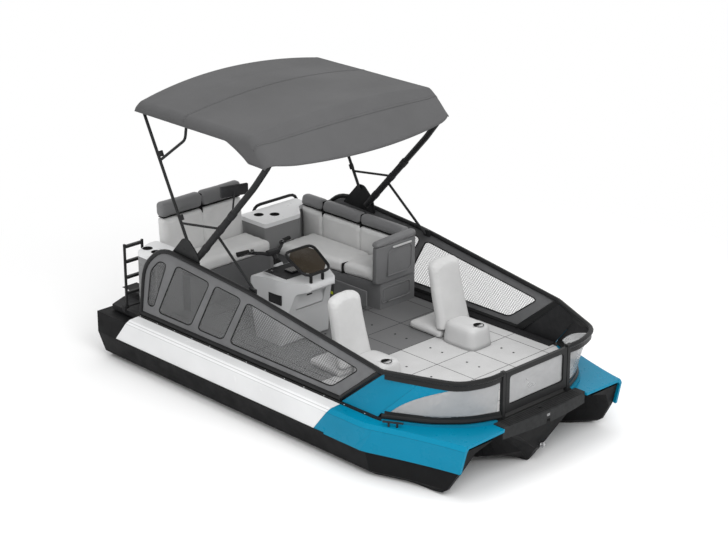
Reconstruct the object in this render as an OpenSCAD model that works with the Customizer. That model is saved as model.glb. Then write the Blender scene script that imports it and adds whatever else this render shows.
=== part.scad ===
// Compact tri-hull pontoon boat with a fabric sun top, a handlebar helm and a water-jet drive.
// +X points to the bow, +Y to port, +Z up. The origin is on the keels' plane, at mid length.

/* [Overall] */
// Length from the stern platform to the bow step
boat_len = 4500; // [4000:50:5500]
// Width over the side panels
beam = 2440; // [2300:20:3000]
// Height of the deck's top above the keels
deck_h = 520; // [480:10:640]

/* [Hulls] */
// Thickness of the deck and its frame
deck_t = 80; // [60:5:90]
// Half width of the centre hull at its sides
centre_half = 500; // [440:10:540]
// Height of the centre hull's chine above its keel
chine_h = 75; // [40:5:120]
// Clear width of each tunnel at its roof
tunnel_w = 100; // [80:5:140]
// Thickness of the white and blue hull covers
cover_t = 24; // [15:1:30]
// Height of the covers' lower edge
cover_low = 248; // [200:2:280]
// How much each bow comes in from the full beam
bow_inset = 262; // [200:2:300]

/* [Fences] */
// Distance of the side fence from the covers' outer face
fence_inset = 140; // [120:5:180]
// Height of the side rail above the deck
rail_h = 680; // [600:10:800]
// Height of the bow rail above the deck
bow_rail_h = 395; // [340:5:450]
// Radius of the fence tubes
rail_r = 21; // [16:1:26]
// Thickness of the fence panels
screen_t = 6; // [4:1:10]
// Width of the bow gate between its posts
gate_w = 740; // [640:10:800]

/* [Sun top] */
// Height of the canopy's highest point above the keels
top_h = 2605; // [2400:5:2800]
// Radius of the main bow's tube
bow_tube_r = 28; // [22:1:34]
// Radius of the rear poles and struts
pole_r = 14; // [10:1:18]
// Thickness of the canopy
canopy_t = 10; // [6:1:16]

/* [Seats] */
// Height of the port bench's cushion top above the deck
seat_h = 360; // [300:5:450]
// Thickness of the seat cushions
cushion_t = 115; // [80:5:140]
// Height of the port backrest above the deck
back_h = 690; // [600:5:780]
// Height of the driver's cushion top above the deck
driver_seat_h = 450; // [400:5:520]
// Radius of the cup holders
cup_r = 42; // [36:1:48]
// Depth of the cup holders
cup_depth = 75; // [50:5:90]

/* [Helm] */
// Height of the console's top above the deck
console_h = 600; // [540:5:680]
// Width of the console
console_w = 560; // [480:10:620]
// Span of the handlebar between the grips' ends
bar_span = 600; // [520:10:640]

/* [Jet drive] */
// Bore radius of the jet pump
pump_r = 78; // [65:1:90]
// Wall of the pump housing
pump_wall = 8; // [6:1:12]
// Height of the pump's centre line above the keels
pump_h = 190; // [160:5:230]

/* [Hidden] */

// Colours
black = [0.12, 0.12, 0.12];
dark = [0.28, 0.28, 0.29];
fabric_grey = [0.37, 0.37, 0.37];
white = [0.93, 0.93, 0.93];
blue = [0.02, 0.50, 0.65];
vinyl = [0.74, 0.74, 0.72];
vinyl_dark = [0.40, 0.40, 0.41];
smoke = [0.30, 0.26, 0.20, 0.6];
clear = [0.8, 0.85, 0.88, 0.4];
metal = [0.6, 0.6, 0.62];

seat_gap = 0.3;                        // running line between pieces that lie against each other
stern = -boat_len / 2;
bow = boat_len / 2;
half = beam / 2;
hull_top = deck_h - deck_t;
fence_y = half - fence_inset;
function aft(d) = stern + d;           // a place measured forward from the stern platform
function fwd(d) = bow - d;             // a place measured back from the bow step

// ---- Points and paths -------------------------------------------------------------------------

function mix(a, b, t) = a + (b - a) * t;
function clamp01(t) = min(1, max(0, t));
function unit(v) = v / norm(v);

// A corner at b between a and c, rounded as a curve that starts d away from it
function corner(a, b, c, d, n = 4) =
    let (p = b + unit(a - b) * min(d, norm(a - b) * 0.49), q = b + unit(c - b) * min(d, norm(c - b) * 0.49))
    [for (i = [0:n]) let (t = i / n) mix(mix(p, b, t), mix(b, q, t), t)];

// An open path with its inner corners rounded
function rounded_path(p, d, n = 4) = let (last = len(p) - 1)
    concat([p[0]], [for (i = [1:last - 1]) each corner(p[i - 1], p[i], p[i + 1], d, n)], [p[last]]);

// A closed outline with every corner rounded
function rounded_loop(p, d, n = 4) = let (k = len(p))
    [for (i = [0:k - 1]) each corner(p[(i + k - 1) % k], p[i], p[(i + 1) % k], d, n)];

// A convex counter-clockwise outline moved in by d on every edge
function inset_loop(p, d) = let (k = len(p)) [for (i = [0:k - 1])
    let (e = unit(p[i] - p[(i + k - 1) % k]), f = unit(p[(i + 1) % k] - p[i]), a = [-e[1], e[0]], b = [-f[1], f[0]])
    p[i] + d * (a + b) / (1 + a * b)];

function reverse(p) = [for (i = [len(p) - 1:-1:0]) p[i]];
function tangent(p, i) = unit(p[min(i + 1, len(p) - 1)] - p[max(i - 1, 0)]);

// A round tube swept along a path; side is a direction that the path never runs along
module tube(path, r, side = [0, 1, 0], sides = 10) {
    rings = [for (i = [0:len(path) - 1])
        let (t = tangent(path, i), u = unit(cross(t, side)), v = cross(t, u))
        [for (j = [0:sides - 1]) path[i] + r * (cos(360 * j / sides) * u + sin(360 * j / sides) * v)]];
    skin(rings);
}

// A closed solid through rings of points that run counter-clockwise seen from the path's end
module skin(rings, sheet = false) {
    m = len(rings[0]);
    n = len(rings);
    points = [for (ring = rings) each ring];
    // A thin sheet's two sides are split along the same diagonals, so that they stay parallel where it twists
    sides = [for (i = [0:n - 2], j = [0:m - 1]) let (k = (j + 1) % m, a = i * m, b = a + m)
        each sheet && j == 2 ? [[a + j, b + j, a + k], [b + j, b + k, a + k]] : [[a + j, b + j, b + k], [a + j, b + k, a + k]]];
    // Each end is closed by a strip between the points that face each other across it
    start = [for (j = [0:floor(m / 2) - 2])
        each [[j, j + 1, m - 2 - j], [j, m - 2 - j, m - 1 - j]]];
    end = [for (f = start) [for (i = [2:-1:0]) f[i] + (n - 1) * m]];
    polyhedron(points, concat(sides, start, end), convexity = 8);
}

// A flat shape drawn in X and Z, stood up at y with its thickness centred there
module upright(y, t) {
    translate([0, y + t / 2, 0]) rotate([90, 0, 0]) linear_extrude(t) children();
}

// What is drawn for port is turned over for starboard
module on_side(side) {
    if (side == "port") children();
    else mirror([0, 1, 0]) children();
}

module both_sides() {
    children();
    mirror([0, 1, 0]) children();
}

// ---- Hulls ------------------------------------------------------------------------------------

shoulder_x = fwd(900);                 // where the bow starts to come in
entry_x = fwd(620);                    // where the hulls start to close to their stems
hull_stern = aft(110);
hull_bow = fwd(45);
hull_side = half - cover_t - seat_gap;
sponson_in = centre_half + tunnel_w;
bow_slack = 8;                         // room between the hulls and the covers where both curve

// Half width of the boat over its covers at a place along it
function cover_half(x) = half - bow_inset * (1 - pow(1 - clamp01((x - shoulder_x) / (bow - shoulder_x)), 1.25));

// How far the stem lies behind the bow at a height
function stem_back(z) = let (low = 1 - clamp01(z / hull_top)) 115 * low + 150 * pow(low, 6);

// One ring of a sponson: u is 0 where the entry starts and 1 at the stem
function sponson_ring(x, u) =
    let (q = pow(u, 1.6), foot = 30 * pow(u, 3))
    let (zs = [hull_top, mix(330, 380, q), mix(120, 230, q), mix(30, 60, q), mix(0, foot, q),
               mix(0, foot, q), mix(50, 60, q), cover_low - 8, mix(330, 380, q), hull_top])
    let (in_y = [sponson_in, mix(sponson_in, 800, q), mix(sponson_in + 15, 905, q),
                 mix(sponson_in + 30, 935, q), mix(sponson_in + 60, 940, q)])
    let (out = [for (d = [110, 45, 0, 0, 0]) d])
    [for (j = [0:9])
        let (xj = x - stem_back(zs[j]) * u)
        let (side_y = cover_half(xj) - (half - hull_side) - bow_slack * clamp01((xj - shoulder_x + 200) / 150))
        [xj, j < 5 ? in_y[j] : side_y - mix(out[j - 5], out[j - 5] * 0.1, q), zs[j]]];

module sponson() {
    body = [hull_stern, aft(300), 0, shoulder_x, mix(shoulder_x, entry_x, 0.5)];
    // The stern's lower edge is cut up a little
    start = [for (p = sponson_ring(hull_stern, 0)) [p[0] + 60 * (1 - clamp01(p[2] / 150)), p[1], p[2]]];
    rings = concat([start], [for (i = [1:4]) sponson_ring(body[i], 0)],
        [for (i = [0:8]) let (u = i / 8) sponson_ring(mix(entry_x, hull_bow, u), u)]);
    skin(rings);
}

function centre_ring(x, u) =
    let (q = pow(u, 1.8))
    let (ys = [centre_half, mix(centre_half, 300, q), mix(centre_half - 12, 30, q), mix(60, 14, q)])
    let (zs = [hull_top, mix(330, 370, q), mix(chine_h, 150, q), 0])
    [for (j = [0:7]) let (k = j < 4 ? j : 7 - j, s = j < 4 ? -1 : 1)
        [x - (stem_back(zs[k]) * 0.6) * u, s * ys[k], zs[k]]];

pump_x = aft(300);                     // where the pump housing meets the centre hull's transom
bay_x = [aft(800), aft(1620)];
bay_half = 290;
bay_floor = 62;

module centre_hull() color(black) difference() {
    skin(concat([centre_ring(pump_x, 0), centre_ring(0, 0)],
        [for (i = [0:8]) let (u = i / 8) centre_ring(mix(entry_x, hull_bow, u), u)]));
    translate([bay_x[0], -bay_half, bay_floor])
        cube([bay_x[1] - bay_x[0], 2 * bay_half, hull_top]);
}

module starboard_hull() color(black) on_side("starboard") sponson();
module port_hull() color(black) on_side("port") sponson();

// ---- Deck and covers --------------------------------------------------------------------------

deck_edge = fence_y + 22;
deck_front = fwd(145);
step_half = 500;
rail_turn_x = fwd(780);                // where the fences turn in towards the gate
// Edge of the deck at the bow, followed by the bow covers and the bow fences' feet
deck_bow = rounded_path([[fwd(1400), deck_edge], [rail_turn_x, deck_edge], [fwd(480), fence_y - 170],
    [fwd(235), fence_y - 390], [deck_front, step_half]], 120);

function deck_half(x, i = 0) =
    x <= deck_bow[0][0] ? deck_edge :
    i >= len(deck_bow) - 1 ? step_half :
    x <= deck_bow[i + 1][0] ?
        mix(deck_bow[i][1], deck_bow[i + 1][1], (x - deck_bow[i][0]) / (deck_bow[i + 1][0] - deck_bow[i][0])) :
        deck_half(x, i + 1);

deck_aft = aft(560);

module deck() color([0.5, 0.5, 0.5]) translate([0, 0, hull_top]) linear_extrude(deck_t)
    polygon(concat([[deck_aft, -deck_edge], [deck_aft, deck_edge]], deck_bow,
        [for (p = reverse(deck_bow)) [p[0], -p[1]]]));

ledge_z = deck_h - 18;                 // top of the covers' ledge beside the fence
ledge_t = 26;
cover_split = fwd(1275);               // where the white and blue covers meet at the ledge
cover_aft = aft(600);
cover_rake = 205;                      // how far the covers' ends slope back from top to bottom

// Section of a cover from the ledge's inner edge to the lower edge: underside, then outside
function cover_section(yi, yo) = [
    [yi, ledge_z - ledge_t], [yo - 46, ledge_z - ledge_t - 8], [yo - cover_t, ledge_z - 62], [yo - cover_t, cover_low],
    [yo, cover_low], [yo, ledge_z - 48], [yo - 24, ledge_z - 10], [yi, ledge_z]];

function rake_at(z) = cover_rake * (ledge_z - z) / (ledge_z - cover_low);

function cover_ring(x, end) = [for (p = cover_section(deck_edge + seat_gap, half))
    [x - (end ? rake_at(p[1]) : 0), p[0], p[1]]];

module cover() {
    skin([cover_ring(cover_aft, true), cover_ring(cover_split - 3, true)]);
}

module bow_cover() {
    tip = fwd(22);
    zs = [for (p = cover_section(0, 1)) p[1]];
    stations = concat([cover_split], [for (p = deck_bow) if (p[0] > cover_split + 60 && p[0] < deck_front) p[0]], [deck_front, fwd(85), tip]);
    rings = [for (x = stations)
        // The cover's end is raked beside the side cover and follows the stem at the bow
        let (u = (x - cover_split) / (tip - cover_split))
        [for (j = [0:7])
            let (xj = x - mix(rake_at(zs[j]), stem_back(zs[j]) * 0.9, u))
            let (inner = deck_half(xj) + seat_gap + (j == 0 ? 4 : 0), p = cover_section(inner, cover_half(xj))[j])
            [xj, p[0], p[1]]]];
    skin(rings);
}

module starboard_cover() color(white) on_side("starboard") cover();
module port_cover() color(white) on_side("port") cover();
module starboard_bow_cover() color(blue) on_side("starboard") bow_cover();
module port_bow_cover() color(blue) on_side("port") bow_cover();

step_z = deck_h - 10;
step_lip = 105;                        // depth of the step's front face
module bow_step() color(dark) {
    front = [for (i = [0:8]) let (y = mix(-step_half, step_half, i / 8))
        [bow - 42 * pow(y / step_half, 2), y]];
    back = [for (p = reverse(front)) [deck_front + seat_gap, p[1]]];
    face = [for (p = reverse(front)) [hull_bow + seat_gap, p[1]]];
    difference() {
        translate([0, 0, hull_top + seat_gap]) linear_extrude(step_z - hull_top - seat_gap)
            polygon(concat(front, back));
        translate([fwd(85), 0, step_z - socket_depth]) cylinder(h = socket_depth + 1, r = socket_r, $fn = 48);
    }
    difference() {
        translate([0, 0, step_z - step_lip]) linear_extrude(step_lip - 2) polygon(concat(front, face));
        translate([bow - 30, -22, step_z - step_lip - 1]) cube([60, 44, 46]);
    }
}

stem_zs = [150, 370];                  // heights between which the stem's front face is flat
function stem_face(z) = hull_bow - 0.6 * mix(stem_back(stem_zs[0]), stem_back(stem_zs[1]), (z - stem_zs[0]) / (stem_zs[1] - stem_zs[0]));
eye_z = 190;
eye_x = stem_face(eye_z) + 32;
eye_r = 13;
eye_t = 14;
module bow_eye() color(metal) difference() {
    // A flat ring on a foot that sits on the stem
    union() {
        translate([eye_x, eye_t / 2, eye_z]) rotate([90, 0, 0]) cylinder(h = eye_t, r = eye_r + 12, $fn = 64);
        upright(0, eye_t) polygon([[stem_face(eye_z - 20) + seat_gap, eye_z - 20], [eye_x - 14, eye_z - 16],
            [eye_x - 14, eye_z + 16], [stem_face(eye_z + 20) + seat_gap, eye_z + 20]]);
    }
    translate([eye_x, eye_t, eye_z]) rotate([90, 0, 0]) cylinder(h = 2 * eye_t, r = eye_r, $fn = 64);
}

platform_top = deck_h - 22;
platform_t = 46;
module stern_platform() color(black) {
    ladder_lugs();
    aft_edge = [for (i = [0:12]) let (y = mix(-fence_y, fence_y, i / 12))
        [stern + 190 * pow(abs(y) / fence_y, 2.6), y]];
    difference() {
        translate([0, 0, platform_top - platform_t]) linear_extrude(platform_t)
            polygon(concat([[deck_aft - seat_gap, fence_y]], reverse(aft_edge), [[deck_aft - seat_gap, -fence_y]]));
        both_sides() translate([aft(330), 300, platform_top - platform_t - 1])
            cylinder(h = platform_t + 2, r = socket_r, $fn = 48);
    }
}
socket_r = 20;                         // accessory sockets in the platform and the bow step
socket_depth = 45;

cleat_x = fwd(680);
cleat_in = 55;                         // the cleats' distance out from the deck's edge
cleat_z = ledge_z + seat_gap - 10 * (cleat_in - 9) / (cover_half(cleat_x) - deck_half(cleat_x) - 24);
cleat_turn = atan((deck_half(cleat_x + 40) - deck_half(cleat_x - 40)) / 80);
module cleats() color(black) both_sides() translate([cleat_x, deck_half(cleat_x) + cleat_in, cleat_z]) rotate([0, 0, cleat_turn]) {
    for (x = [-35, 35]) translate([x, 0, 0]) cylinder(h = 30, r = 9, $fn = 24);
    translate([-85, 0, 38]) rotate([0, 90, 0]) cylinder(h = 170, r = 9, $fn = 24);
}

// ---- Side fences ------------------------------------------------------------------------------

foot_z = deck_h + rail_r;
knee_x = fwd(830);
bracket_x = aft(2060);
// The side rail meets the bow rail at the knee, each cut square to the line halfway between them
knee = [knee_x, fence_y - 8, deck_h + bow_rail_h + 8];
rail_mid = [bracket_x, fence_y, deck_h + rail_h - 45];
bow_mid = [fwd(460), fence_y - 165, deck_h + bow_rail_h];
knee_dir = unit(unit(knee - rail_mid) + unit(bow_mid - knee));
rail_path = concat(rounded_path([[aft(620), fence_y, foot_z], [aft(690), fence_y, deck_h + 500],
    [aft(950), fence_y, deck_h + rail_h + 40], rail_mid, knee - knee_dir * 14], 150, 5), [knee - knee_dir * seat_gap / 2]);
foot_x = fwd(1280);
post_r = rail_r * 0.9;
post_line = [[foot_x - 20, foot_z], [knee_x - 26, deck_h + bow_rail_h - 4]];

module side_rail() {
    tube(rail_path, rail_r);
    // The sill along the deck and the post from the sill up to the knee
    tube([[aft(640), fence_y, foot_z], [foot_x, fence_y, foot_z]], rail_r);
    tube([[post_line[0][0], fence_y, post_line[0][1]], [post_line[1][0], fence_y - 7, post_line[1][1]]], post_r);
}

module starboard_rail() color(black) on_side("starboard") side_rail();
module port_rail() color(black) on_side("port") side_rail();

screen_gap = rail_r + seat_gap;
// The screen ends just short of the rail, the sill and the post in front
rail_inset = [for (i = [0:len(rail_path) - 1]) let (t = tangent(rail_path, i))
    [rail_path[i][0] + screen_gap * t[2], rail_path[i][2] - screen_gap * t[0]]];
module screen_shape() {
    lean = unit(post_line[1] - post_line[0]);
    edge = (post_r + seat_gap) * [-lean[1], lean[0]];
    intersection() {
        polygon(concat([[rail_inset[0][0], deck_h]], rail_inset, [[rail_inset[len(rail_inset) - 1][0], deck_h]]));
        polygon([post_line[0] + edge - lean * 100, post_line[1] + edge + lean * 100, [aft(500), top_h], [aft(500), deck_h]]);
        translate([aft(500), foot_z + screen_gap]) square([boat_len, rail_h]);
    }
}
// Height of the side rail over a place along it
function rail_z(x, i = 0) = i >= len(rail_path) - 1 ? rail_path[i][2] :
    x <= rail_path[i + 1][0] ? mix(rail_path[i][2], rail_path[i + 1][2],
        clamp01((x - rail_path[i][0]) / (rail_path[i + 1][0] - rail_path[i][0]))) : rail_z(x, i + 1);

window_low = deck_h + 90;
window_lean = 0.55;                    // how far the window pillars lean forward for their height
function pillar(x, z) = x + (z - window_low) * window_lean;
// Four windows: each is given by the places of its two pillars at the windows' lower edge
windows = [[aft(730), aft(790)], [aft(860), aft(1310)], [aft(1400), aft(1740)], [aft(1830), fwd(1400)]];

module window_shape(w, last, inset = 0) {
    top_a = rail_z(pillar(w[0], deck_h + 560)) - 95;
    xb = last ? fwd(1075) : pillar(w[1], rail_z(w[1]) - 90);
    polygon(rounded_loop(inset_loop([[w[0], window_low], [w[1], window_low], [xb, rail_z(xb) - 95],
        [pillar(w[0], top_a), top_a]], inset), 55));
}
rear_window = [[aft(712), window_low + 30], [aft(800), window_low + 30], [aft(1010), deck_h + 590], [aft(905), deck_h + 590],
    [aft(780), deck_h + 470]];

module side_windows(inset = 0) {
    polygon(rounded_loop(inset_loop(rear_window, inset), 50));
    for (i = [1:3]) window_shape(windows[i], i == 3, inset);
}

module side_screen() {
    upright(fence_y, screen_t) difference() {
        screen_shape();
        side_windows();
    }
}
module starboard_screen() color(fabric_grey) on_side("starboard") side_screen();
module port_screen() color(fabric_grey) on_side("port") side_screen();

mesh_t = 2;
module side_meshes() color([0.55, 0.55, 0.55]) both_sides() upright(fence_y, mesh_t) side_windows(seat_gap);

// ---- Bow fences and gate ----------------------------------------------------------------------

gate_x = fwd(150);
post_y = gate_w / 2 + 22;
post_half = 17;
bow_top = concat([knee + knee_dir * seat_gap / 2], rounded_path([knee + knee_dir * 14, bow_mid,
    [fwd(225), fence_y - 270, deck_h + bow_rail_h], [gate_x + 8, post_y + 175, deck_h + bow_rail_h - 4],
    [gate_x, post_y, deck_h + bow_rail_h - 6]], 110, 4));
bow_low = rounded_path([[fwd(820), fence_y - 4, foot_z], [fwd(480), fence_y - 195, foot_z],
    [fwd(260), fence_y - 420, foot_z], [gate_x, post_y, foot_z]], 110, 4);

module bow_rail() {
    tube(bow_top, rail_r, [0, 0, 1]);
    tube(bow_low, rail_r, [0, 0, 1]);
    translate([gate_x - post_half, post_y - post_half, deck_h]) cube([2 * post_half, 2 * post_half, bow_rail_h + 14]);
}
module starboard_bow_rail() color(black) on_side("starboard") bow_rail();
module port_bow_rail() color(black) {
    on_side("port") bow_rail();
    hinge_pins();
}

// Length of a path, and the place at a length from its start
function path_len(path, i = 0) = i >= len(path) - 1 ? 0 : norm(path[i + 1] - path[i]) + path_len(path, i + 1);
function place(path, d, i = 0) = let (l = norm(path[i + 1] - path[i]))
    d <= l || i >= len(path) - 2 ? mix(path[i], path[i + 1], d / max(l, 0.001)) : place(path, d - l, i + 1);

// The fence's sheets are ruled from the deck's edge and the lower rail up to the upper rail
sheet_gap = screen_gap + 1.4;
panel_start = 40;                      // distance from the knee to the panel's upper corner
apron_gap = 1.5;                       // room between the panel's lower edge and the deck
apron_rise = foot_z + sheet_gap - deck_h - apron_gap;
apron_stop = 13;                       // distance kept behind the lower rail's end
sheet_low = concat([[foot_x + 3, fence_y, deck_h + apron_gap], bow_low[0] + [-apron_stop - 0.75 * apron_rise, 0, sheet_gap - apron_rise],
    bow_low[0] + [-apron_stop, 0, sheet_gap]], [for (p = bow_low) p + [0, 0, sheet_gap]]);
low_len = path_len(sheet_low);
top_len = path_len(bow_top) - panel_start;
module bow_sheet(rulings, t) {
    skin([for (r = rulings)
        let (p = place(sheet_low, r[0] * low_len), q = place(bow_top, panel_start + r[0] * top_len), up = unit(q - p))
        let (rail = unit(place(bow_top, panel_start + r[0] * top_len + 6) - place(bow_top, panel_start + r[0] * top_len - 6)))
        let (out = unit(cross(up, rail)), height = norm(q - p) - sheet_gap / norm(cross(up, rail)))
        let (lo = p + up * height * r[1], hi = p + up * height * r[2])
        [lo + out * t / 2, hi + out * t / 2, hi - out * t / 2, lo - out * t / 2]], sheet = true);
}
// The panel reaches the deck until the lower rail begins. The window starts as a low tip and its upper edge rises forward.
apron = norm(sheet_low[1] - sheet_low[0]) / low_len;
apron_end = apron + norm(sheet_low[2] - sheet_low[1]) / low_len;
window_start = 0.358;                  // shares of the fence's length
window_full = 0.66;
window_end = 0.965;
window_edge = [for (i = [1:12]) let (w = pow(i / 12.5, 1.8)) [mix(window_start, window_full, w), pow(w, 0.4)]];
module bow_panels() color(blue) both_sides() bow_sheet(concat([for (i = [0:4]) [apron * i / 4, 0, 1]],
    [[apron_end, 0, 1], [window_start - 0.002, 0, 1]], [for (e = window_edge) [e[0], e[1] + 0.008, 1]]), 5);
module bow_windows() color(clear) both_sides() bow_sheet(concat([for (e = window_edge) [e[0], 0, e[1]]],
    [for (i = [0:8]) [mix(window_full, window_end, i / 8), 0, 1]]), 5);

gate_gap = 6;
gate_half = post_y - post_half - gate_gap;
gate_low = deck_h + 40;
gate_top = deck_h + bow_rail_h - 2;
gate_bar = 30;
// The gate hangs on two pins beside the port post and opens over the deck
hinge_x = gate_x - gate_bar / 2 - 14;
hinge_y = gate_half + gate_gap / 2;
hinge_r = 5;
hinge_zs = [gate_low + 50, gate_top - 90];
ear_h = 30;

module hinge_pins() for (z = hinge_zs) {
    translate([hinge_x, hinge_y, z - 12]) cylinder(h = ear_h + 24, r = hinge_r, $fn = 32);
    // Knuckles above and below the gate's ear join the pin to the post
    for (k = [-12, ear_h + 2]) translate([hinge_x, hinge_y, z + k]) {
        cylinder(h = 10, r = 8, $fn = 40);
        translate([-8, 0, 0]) cube([24, gate_gap / 2 + 10, 10]);
    }
}

module bow_gate() color(black) {
    translate([gate_x, 0, 0]) rotate([90, 0, 90]) translate([0, 0, -gate_bar / 2]) linear_extrude(gate_bar) difference() {
        polygon([[-gate_half, gate_low], [gate_half, gate_low], [gate_half, gate_top], [-gate_half, gate_top]]);
        polygon(gate_light(42));
    }
    for (z = hinge_zs) difference() {
        union() {
            translate([hinge_x, hinge_y, z]) cylinder(h = ear_h, r = 9, $fn = 40);
            translate([hinge_x, hinge_y - 16, z]) cube([16, 12.5, ear_h]);
        }
        translate([hinge_x, hinge_y, z - 1]) cylinder(h = ear_h + 2, r = hinge_r + 0.06, $fn = 32);
    }
}
// The gate's clear light, a given distance in from its edges and more at the foot
function gate_light(edge) = rounded_loop([for (c = [[-1, 0], [1, 0], [1, 1], [-1, 1]])
    [c[0] * (gate_half - edge), c[1] == 0 ? gate_low + edge + 20 : gate_top - edge]], 30);
module gate_window() color(clear)
    translate([gate_x, 0, 0]) rotate([90, 0, 90]) translate([0, 0, -2]) linear_extrude(4) polygon(gate_light(42.3));

// ---- Stern: ladder and hoop -------------------------------------------------------------------

ladder_x = aft(408);
ladder_y = -(fence_y - 100);
ladder_w = 200;
ladder_len = 600;
ladder_pin_r = 8;
ladder_foot = platform_top + 34;       // height of the pin that the ladder turns on
rung_t = 24;
module boarding_ladder() color(black) difference() {
    union() {
        for (s = [-1, 1]) {
            translate([ladder_x, ladder_y + s * ladder_w / 2, ladder_foot]) cylinder(h = ladder_len, r = 13, $fn = 32);
            translate([ladder_x, ladder_y + s * ladder_w / 2 + 13, ladder_foot]) rotate([90, 0, 0]) cylinder(h = 26, r = 18, $fn = 40);
        }
        for (k = [0.24, 0.49, 0.74, 0.98]) translate([ladder_x - 15, ladder_y - ladder_w / 2, ladder_foot + ladder_len * k - rung_t])
            cube([30, ladder_w, rung_t]);
    }
    ladder_axis(ladder_pin_r + 0.06);
}
module ladder_axis(r) translate([ladder_x, ladder_y + ladder_w / 2 + 40, ladder_foot]) rotate([90, 0, 0])
    cylinder(h = ladder_w + 80, r = r, $fn = 40);
// The platform's two lugs and the pin between them
module ladder_lugs() {
    ladder_axis(ladder_pin_r);
    for (s = [-1, 1]) translate([ladder_x - 20, ladder_y + s * (ladder_w / 2 + 29) - 10, platform_top - 1]) cube([40, 20, ladder_foot - platform_top + 19]);
}

hoop_path = rounded_path([[aft(400), 460, deck_h + 100], [aft(385), 470, deck_h + 590], [aft(385), fence_y - 55, deck_h + 590],
    [aft(400), fence_y - 45, deck_h + 100]], 90);
module stern_hoop() color(black) tube(concat([[aft(400), 460, platform_top + seat_gap]], hoop_path,
    [[aft(400), fence_y - 45, platform_top + seat_gap]]), 15, [1, 0, 0]);

// ---- Sun top ----------------------------------------------------------------------------------

bracket_t = 12;
rail_flat = rail_r * cos(18);            // the rail's tube has ten sides; this is half its width across flats
bracket_in = fence_y - rail_flat - bracket_t - seat_gap;
function leg_y(r) = bracket_in - seat_gap - r;      // plane of a tube that lies against the brackets
main_base = [aft(1353), deck_h + rail_h + 30];
main_bend = [aft(2115), 2058];
rear_base = [aft(1252), deck_h + rail_h + 160];
foot_block = [70, 24, 62];
foot_at = [bracket_x + 20, fence_y - rail_flat - foot_block[1] - seat_gap, deck_h + rail_h - 82];

// Outer surface of the canopy: crowned across and along, falling at the front
canopy_aft = aft(545);
canopy_front = aft(2535);
canopy_half = fence_y + 5;
crown = 95;
fall_x = aft(2170);                    // where the top turns down to its front edge
front_fall = 330;
edge_roll = 90;                        // length over which the rear edge rolls down
skirt_low = [[canopy_aft, 2425], [aft(1850), 2425], [aft(2150), 2278], [canopy_front, 2195]];
side_share = [0, 0.3, 0.62, 0.86, 1];  // the rounded side, from the crown's edge down to the hem

function hem_z(x, i = 0) = x <= skirt_low[i + 1][0] || i >= 2 ?
    mix(skirt_low[i][1], skirt_low[i + 1][1], clamp01((x - skirt_low[i][0]) / (skirt_low[i + 1][0] - skirt_low[i][0]))) :
    hem_z(x, i + 1);
function crown_z(x, y) =
    let (v = y / canopy_half, s = clamp01((x - fall_x) / (canopy_front - fall_x)), r = clamp01((canopy_aft + edge_roll - x) / edge_roll))
    top_h - crown * v * v - front_fall * pow(s, 1.25) - 45 * r * r;

// One rib of the canopy across the boat, moved in from the outer surface by t
function canopy_rib(x, t) =
    let (flat = canopy_half - 60)
    let (edge = [for (k = side_share) let (a = 90 * k) [flat + (60 - t) * sin(a), 1 - cos(a)]])
    let (top_z = crown_z(x, flat) - t)
    let (side = [for (e = edge) [x, e[0], mix(top_z, min(top_z - 4, hem_z(x) + (t > 0 ? 2 : 0)), e[1])]])
    concat([for (p = reverse(side)) [p[0], -p[1], p[2]]],
        [for (k = [1:9]) let (y = mix(-flat, flat, k / 10)) [x, y, crown_z(x, y) - t]], side);

// The front and rear edges sweep in towards their corners
sweep = 120;
sweep_x = fall_x - 200;
rear_sweep = 100;
rear_x = canopy_aft + 350;
function swept(p) = let (v = pow(p[1] / canopy_half, 2))
    [p[0] - sweep * v * clamp01((p[0] - sweep_x) / (canopy_front - sweep_x))
        + rear_sweep * v * clamp01((rear_x - p[0]) / (rear_x - canopy_aft)), p[1], p[2]];
function unswept(x, y) = let (v = pow(y / canopy_half, 2), k = sweep * v / (canopy_front - sweep_x), j = rear_sweep * v / (rear_x - canopy_aft))
    x > sweep_x ? (x - k * sweep_x) / (1 - k) : x < rear_x ? (x - j * rear_x) / (1 - j) : x;
// Height of a tube's centre that lies just under the canopy
function under_top(x, y, r) = let (u = unswept(x, y), slope = (crown_z(u + 4, y) - crown_z(u - 4, y)) / 8)
    crown_z(u, y) - (canopy_t + r + 1.2) * sqrt(1 + slope * slope);

module canopy() color(fabric_grey) {
    us = concat([for (i = [0:4]) canopy_aft + edge_roll * i / 4], [rear_x - 130, rear_x], [for (i = [1:6]) mix(rear_x, fall_x, i / 6)],
        [for (i = [1:8]) mix(fall_x, canopy_front, i / 8)]);
    nu = len(us) - 1;
    m = len(canopy_rib(0, 0));
    top = [for (x = us, p = canopy_rib(x, 0)) swept(p)];
    under = [for (x = us, p = canopy_rib(mix(x, 0, 0.004), canopy_t)) swept(p)];
    k = len(top);
    over = [for (i = [0:nu - 1], j = [0:m - 2]) let (a = i * m + j)
        each [[a, a + 1, a + m + 1], [a, a + m + 1, a + m]]];
    rim = concat([for (i = [0:nu]) i * m], [for (j = [1:m - 1]) nu * m + j],
        [for (i = [nu - 1:-1:0]) i * m + m - 1], [for (j = [m - 2:-1:1]) j]);
    walls = [for (a = [0:len(rim) - 1]) let (p = rim[a], q = rim[(a + 1) % len(rim)])
        each [[p, q, q + k], [p, q + k, p + k]]];
    polyhedron(concat(top, under), concat(over, [for (f = over) [f[2] + k, f[1] + k, f[0] + k]], walls), convexity = 6);
}

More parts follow.
